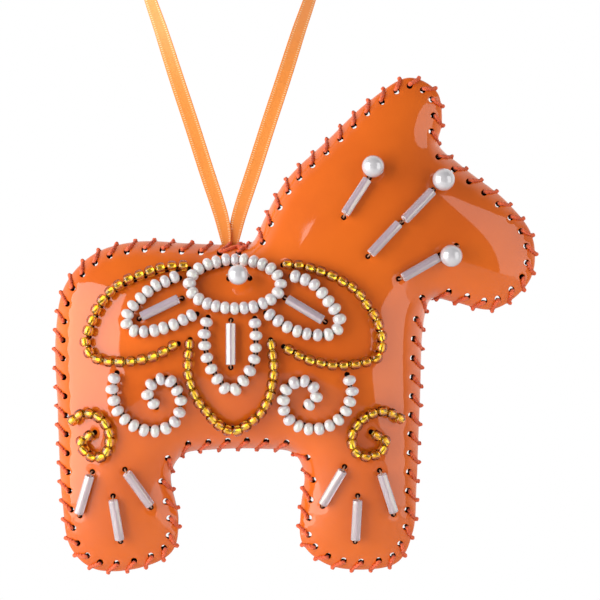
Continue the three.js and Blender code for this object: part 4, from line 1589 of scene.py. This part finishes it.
@dataclass
class Beadwork:
    """The seed beads, bugles, pearls and their threads as pieces."""

    plan: Embroidery
    shop: Workshop
    bead_sides: int = 12
    bugle_sides: int = 30
    pearl_sides: int = 28
    askew: float = 0.06
    unevenness: tuple[float, float] = (0.025, 0.04)
    heading_reach: float = 0.6
    string_depth: float = 0.5
    single_depth: float = 0.7
    lip_clearance: float = 0.12

    def string(self, string: BeadString, stands_for: str, finishes: list[Finishes], slot: str) -> None:
        """Threads one string's beads along its route, a touch askew and uneven as real seed beads are.

        Args:
            string: The string.
            stands_for: Its CAD node.
            finishes: The glass, then the bore's finish if it has its own.
            slot: The record's material slot.
        """
        skin, bead = self.plan.skin, string.bead
        chance = np.random.default_rng(len(string.name) * 100 + string.count)
        along = np.arange(string.count) * string.spacing
        route, ahead, behind = (
            skin.resting(string.route.at(along + step * self.heading_reach), bead.diameter / 2)
            for step in (0, 1, -1))
        axes = unit(unit(ahead - behind) + chance.normal(0, self.askew, route.shape))
        centres = route + chance.normal(0, self.plan.looseness, route.shape) * np.array([1.0, 0.3, 1.0])
        crowd = min(1.0, string.spacing / bead.length + 0.1)
        thick, long = (chance.normal(1.0, spread, string.count) for spread in self.unevenness)
        profile = barrel(bead.diameter, bead.length, bead.bore, string.squareness)
        surface = turned(profile, self.bead_sides, centres, axes, np.stack([thick, crowd * long], -1))
        if len(finishes) > 1:
            row = np.repeat(np.arange(len(profile)), self.bead_sides)
            surface.slots = np.tile((row >= len(profile) - 2).astype(int), string.count)
        self.shop.piece(stands_for, surface, finishes, slot, (stands_for,))

    def string_threads(self, strings: list[BeadString]) -> Surface:
        """The thread of each string: through a bead, down the hole after it, and up into the next bead.

        Args:
            strings: The strings of one colour.

        Returns:
            All their threads as one surface.
        """
        skin, made = self.plan.skin, []
        for string in strings:
            beads = skin.resting(string.bead_places(), string.bead.diameter / 2)
            along = (np.arange(string.count - 1) + 0.5) * string.spacing
            flat = skin.feet(string.route.at(along), string.bead.diameter / 2)
            path = np.empty((2 * string.count - 1, 3))
            path[0::2], path[1::2] = beads, stood(flat, -skin.outer(flat) + self.string_depth)
            middle = smooth_line(path, steps=4)
            across = np.cross(unit(np.gradient(middle[::4], axis=0)), np.array([0.0, 1.0, 0.0]))
            side = np.repeat(across, 4, 0)[: len(middle)] + 1e-3 * np.array([1.0, 0.0, 1.0])
            made.append(swept(middle, side, circle(self.plan.thread_radius, 5)))
        return joined(made)

    def single_thread(self, middle: Array, way: Array, half: float, feet: Array) -> Surface:
        """The thread of a bead sewn alone: up out of the leather, through the bore and back down.

        Args:
            middle: The bead's middle.
            way: The unit vector of its bore.
            half: Half its length.
            feet: How far from the middle each end goes down, negative first. One under the bead goes
                straight up.

        Returns:
            The thread.
        """
        skin = self.plan.skin
        ends = middle + feet[:, None] * way
        flat = skin.feet(ends[:, [0, 2]], 1.0)
        below = stood(flat, -skin.outer(flat) + self.single_depth)
        legs = []
        for foot, end, reach in zip(below, ends, feet):
            lip = middle + math.copysign(half + self.lip_clearance, reach) * way
            clear_of_bead = abs(reach) > 0.9 * half
            legs.append([foot, 0.45 * foot + 0.55 * end, lip] if clear_of_bead else [foot])
        line = smooth_line(np.array([*legs[0], middle, *legs[1][::-1]]), steps=6)
        side = np.broadcast_to(np.cross(way, np.array([0.0, 1.0, 0.0])), line.shape)
        return swept(line, side, circle(self.plan.thread_radius, 6))

    def hexagon(self) -> Array:
        """A bugle's reach at each angle: six faces with softened corners.

        Returns:
            A radius factor for each angle.
        """
        sixth = np.pi / 3
        off_middle = np.mod(full_turn(self.bugle_sides), sixth) - sixth / 2
        return (math.cos(sixth / 2) / np.cos(off_middle)) ** 0.6

    def single(self, name: str, middle: Array, way: Array, radius: float, half: float) -> None:
        """Makes one bugle or pearl.

        Args:
            name: Its CAD node.
            middle: Where its middle is.
            way: The unit vector of its bore.
            radius: Its radius.
            half: Half its length.
        """
        plan, even = self.plan, np.ones((1, 2))
        if name.startswith("bugle"):
            profile = rod(2 * radius, 2 * half, plan.bugle_bore)
            shape = turned(profile, self.bugle_sides, middle[None], way[None], even, swell=self.hexagon())
            row = np.repeat(np.arange(len(profile)), self.bugle_sides)
            shape.slots = (row >= len(profile) - 4).astype(int)
            finishes, slot = [Finishes.LILAC, Finishes.BUGLE_BORE], "bugle_glass"
        else:
            shape = turned(ball(2 * radius, plan.pearl_bore), self.pearl_sides, middle[None], way[None], even)
            finishes, slot = [Finishes.PEARL], "white_pearl"
        self.shop.piece(f"{name}_bead", shape, finishes, slot, (name,))

    def build(self) -> None:
        """Makes every bead and thread."""
        plan, piece = self.plan, self.shop.piece
        for string in plan.gold_strings:
            self.string(string, f"gold_beads_{string.name}", [Finishes.AMBER, Finishes.LINING], "gold_glass")
        for string in plan.cream_strings:
            self.string(string, f"cream_beads_{string.name}", [Finishes.CREAM], "cream_pearl_glass")
        gold, cream = self.string_threads(plan.gold_strings), self.string_threads(plan.cream_strings)
        piece("gold_string_threads", gold, [Finishes.AMBER_THREAD], "sewing_thread")
        piece("cream_string_threads", cream, [Finishes.PALE_THREAD], "sewing_thread")
        for name, (middle, way, radius, half, feet) in plan.singles().items():
            self.single(name, middle, way, radius, half)
            thread = self.single_thread(middle, way, half, feet)
            piece(f"{name}_thread", thread, [Finishes.PALE_THREAD], "sewing_thread", (f"thread_{name}",))


@dataclass
class Ribbon:
    """The satin ribbon: one strip, folded over its hook, its two ends sewn into the seam."""

    shop: Workshop
    width: float = 3.35
    foot_width: float = 2.0
    thickness: float = 0.28
    loop_height: float = 84.0
    foot_depth: float = 1.6
    split_height: float = 3.0
    overlap: float = 0.3
    flat_share: float = 0.25
    ring_pitch: float = 0.6
    section_sides: int = 28
    edge_thickness: tuple[float, float] = (0.36, 0.16)
    crown: float = 0.10
    overlap_reach: float = 9.0
    gather_reach: float = 3.0
    swing_blend: tuple[float, float] = (2.8, 0.2)
    twist_blend: tuple[float, float] = (25.0, 3.2)

    def route(self) -> Line:
        """The strip's middle line, from one end in the seam round the loop to the other.

        Returns:
            The line, alike on both sides of its top.
        """
        side = np.vstack([[(0.75, -self.foot_depth)], RIBBON_SIDE])
        depth = self.overlap * np.exp(-np.maximum(side[:, 1], 0) / self.overlap_reach)
        left = np.stack([-side[:, 0], -depth, side[:, 1]], -1)
        right = np.stack([side[:, 0], depth, side[:, 1]], -1)[::-1]
        return Line(smooth_line(np.vstack([left, [[0.0, 0.0, self.loop_height]], right])))

    def section(self, widths: Array) -> Array:
        """Flat woven sections: a rounded strip, thicker at its woven edges and crowned a little to the front.

        Args:
            widths: The width of each ring.

        Returns:
            The section of each ring.
        """
        angle = full_turn(self.section_sides)
        across = np.sign(np.cos(angle)) * np.abs(np.cos(angle)) ** 0.8
        through = np.sign(np.sin(angle)) * np.abs(np.sin(angle)) ** 0.5
        flat, edge = self.edge_thickness
        thick = self.thickness * (flat + edge * np.abs(across) ** 6)
        crown = self.crown * (1 - across**2)
        x = widths[:, None] / 2 * across[None]
        return np.stack([x, np.broadcast_to(thick * through + crown, x.shape)], -1)

    def strip(self, line: Line, start: float, end: float) -> Surface:
        """The part of the strip between two lengths along its line.

        Args:
            line: The strip's middle line.
            start: Where the part begins.
            end: Where it ends.

        Returns:
            The part, capped at both ends.
        """
        along = np.linspace(start, end, max(4, int((end - start) / self.ring_pitch)))
        middle = line.at(along)
        path = line.heading(along, 0.2)
        front = np.array([0.0, -1.0, 0.0])
        beside = unit(np.cross(path, front))
        facing = unit(np.cross(beside, path))
        share = 2 * np.minimum(along / line.length, 1 - along / line.length)
        rise = np.clip((share - self.flat_share) / (1 - self.flat_share), 0, 1)
        turn = (np.pi / 2) * rise**2 * (3 - 2 * rise)
        side = np.cos(turn)[:, None] * beside + np.sin(turn)[:, None] * facing
        gather = np.exp(-np.maximum(middle[:, 2], 0) / self.gather_reach)
        widths = self.width + (self.foot_width - self.width) * gather
        section = self.section(widths)
        made = swept(middle, side, section)
        around = np.tile(section[0, :, 0] / (widths[0] / 2), len(along))
        made.uv = np.column_stack([made.uv[:, 0], np.concatenate([around, [0.0, 0.0]])])
        return made

    def build(self) -> None:
        line = self.route()
        climbing = line.points[: len(line.points) // 2]
        start = float(np.interp(self.split_height, climbing[:, 2], line.along[: len(climbing)]))
        end = line.length - start
        foot = joined([self.strip(line, 0.0, start), self.strip(line, end, line.length)])
        satin = [Finishes.SATIN]
        foot_piece = self.shop.piece(
            "ribbon_foot", foot, satin, "satin_ribbon", ("ribbon_neck", "ribbon_tails"), body=None)
        loop_piece = self.shop.piece(
            "ribbon_strip", self.strip(line, start, end), satin, "satin_ribbon", ("ribbon_loop",), body=None)

        def height(z: float) -> tuple[float, float, float]:
            """A point on the hanging axis, in the frame."""
            return tuple(in_frame(np.array([0.0, 0.0, z])).tolist())

        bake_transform(foot_piece)
        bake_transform(loop_piece)
        path = in_frame(line.at(np.linspace(start, end, 120))).tolist()


@dataclass
class Studio:
    """A pale floor under the ornament, soft lights and the camera."""

    middle: tuple[float, float, float] = (0.0154, 0.0, -0.0963)
    distance: float = 0.8
    view_height: float = 0.132
    floor_drop: float = 0.21
    floor_radius: float = 300.0
    floor_thickness: float = 4.0
    floor_sides: int = 96

    def softbox(
        self, name: str, aside: float, up: float, size: tuple[float, float], brightness: float,
        distance: float = 0.6,
    ) -> None:
        """A rectangular light that faces the ornament.

        Args:
            name: Its name.
            aside: Degrees to the right of the camera, negative to the left.
            up: Degrees above the ornament.
            size: Its width and height in metres.
            brightness: How bright its face is, where 1 is a white page.
            distance: How far away it stands, in metres.
        """
        data = bpy.data.lights.new(name, "AREA")
        data.shape, data.size, data.size_y = "RECTANGLE", size[0], size[1]
        data.energy = brightness * math.pi * size[0] * size[1]
        light = bpy.data.objects.new(name, data)
        a, e = math.radians(aside), math.radians(up)
        back = Vector((math.sin(a) * math.cos(e), -math.cos(a) * math.cos(e), math.sin(e)))
        light.location = Vector(self.middle) + back * distance
        light.rotation_euler = (-back).to_track_quat("-Z", "Y").to_euler()
        bpy.context.scene.collection.objects.link(light)

    def camera(self) -> None:
        """Puts the camera square in front, level with the middle of the view."""
        data = bpy.data.cameras.new("camera")
        data.sensor_width = 36.0
        data.lens = data.sensor_width * self.distance / self.view_height
        camera = bpy.data.objects.new("camera", data)
        camera.location = Vector(self.middle) + Vector((0.0, -self.distance, 0.0))
        camera.rotation_euler = (math.pi / 2, 0.0, 0.0)
        bpy.context.scene.collection.objects.link(camera)
        bpy.context.scene.camera = camera

    def floor(self) -> None:
        """A pale round floor below the ornament."""
        sides = self.floor_sides
        height, lower = HANG - self.floor_drop / MM, np.array([0.0, 0.0, self.floor_thickness])
        top = np.column_stack([circle(self.floor_radius, sides), np.full(sides, height)])
        centre = np.array([[0.0, 0.0, height]])
        points = np.vstack([top, top - lower, centre, centre - lower])
        ring = np.arange(sides)
        following = (ring + 1) % sides
        faces = [
            np.stack([ring, following, np.full(sides, 2 * sides)], -1),
            np.stack([sides + following, sides + ring, np.full(sides, 2 * sides + 1)], -1),
            np.stack([following, ring, sides + ring, sides + following], -1),
        ]
        material = bpy.data.materials.new("pale_floor")
        material.use_nodes = True
        shader = material.node_tree.nodes["Principled BSDF"]
        shader.inputs["Base Color"].default_value = (0.92, 0.92, 0.92, 1.0)
        shader.inputs["Roughness"].default_value = 0.7
        Surface(points, faces).place("floor", [material])

    def surroundings(self) -> None:
        """White all round as the camera sees it; as the light sees it, bright behind and dim in front."""
        world = bpy.data.worlds.new("studio")
        world.use_nodes = True
        board = Board(world.node_tree)
        backdrop = world.node_tree.nodes["Background"]
        way = board.add("ShaderNodeSeparateXYZ")
        board.link(board.add("ShaderNodeTexCoord").outputs["Generated"], way.inputs[0])
        behind = board.spread(way.outputs["Y"], -0.25, 0.35)
        white, dim = (1.0, 1.0, 1.0), (0.16, 0.16, 0.16)
        seen = board.add("ShaderNodeLightPath").outputs["Is Camera Ray"]
        board.link(board.mix(seen, board.mix(behind, dim, white), white), backdrop.inputs["Color"])
        bpy.context.scene.world = world
        bpy.context.scene.view_settings.view_transform = "Standard"

    def lights(self) -> None:
        """A bright box on the left and a softer one on the right."""
        self.softbox("left_box", -60.0, 4.0, (0.62, 0.70), 4.2)
        self.softbox("right_box", 60.0, 4.0, (0.44, 0.66), 2.0)


def corners(found: tuple[Vector, Vector]) -> list[list[float]]:
    """A box's corners as plain lists."""
    return [list(map(float, corner)) for corner in found]


def main() -> None:
    """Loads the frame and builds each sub-assembly in turn."""
    logging.basicConfig(level=logging.INFO, format="%(message)s")
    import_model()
    studio = Studio()
    studio.camera()
    shop = Workshop()
    Ribbon(shop).build()
    outline = Outline()
    skin = PuffedSkin(outline)
    plan = Embroidery(skin)
    holes = plan.holes()
    skin.dimples = np.concatenate([outline.hole_centres(), holes])
    LOG.info("%d stitches, %d bead holes", outline.stitches, len(holes))
    leather = [Finishes.PATENT, Finishes.FLESH, Finishes.CUT_EDGE]
    front = LeatherPanel(Side.FRONT, skin).build(holes, plan.hole_radius)
    shop.piece("front_leather", front, leather, "patent_leather", ("front_panel",))
    plain_skin = copy.copy(skin)
    plain_skin.dimples = outline.hole_centres()
    back = LeatherPanel(Side.BACK, plain_skin).build(holes[:0], plan.hole_radius)
    shop.piece("back_leather", back, leather, "patent_leather", ("back_panel",))
    wadding = shop.piece("wadding", Wadding(skin).build(), [Finishes.WADDING], "stuffing", ("stuffing",))
    stitching = WhipStitching(skin)
    shop.piece("whip_stitching", stitching.build(), [Finishes.RIM_THREAD], "rim_thread", ("rim_stitching",))
    shop.piece("closing_stitch", stitching.closing_stitch(), [Finishes.RIM_THREAD], "rim_thread")
    Beadwork(plan, shop).build()
    studio.floor()
    studio.lights()
    studio.surroundings()


if __name__ == "__main__":
    main()
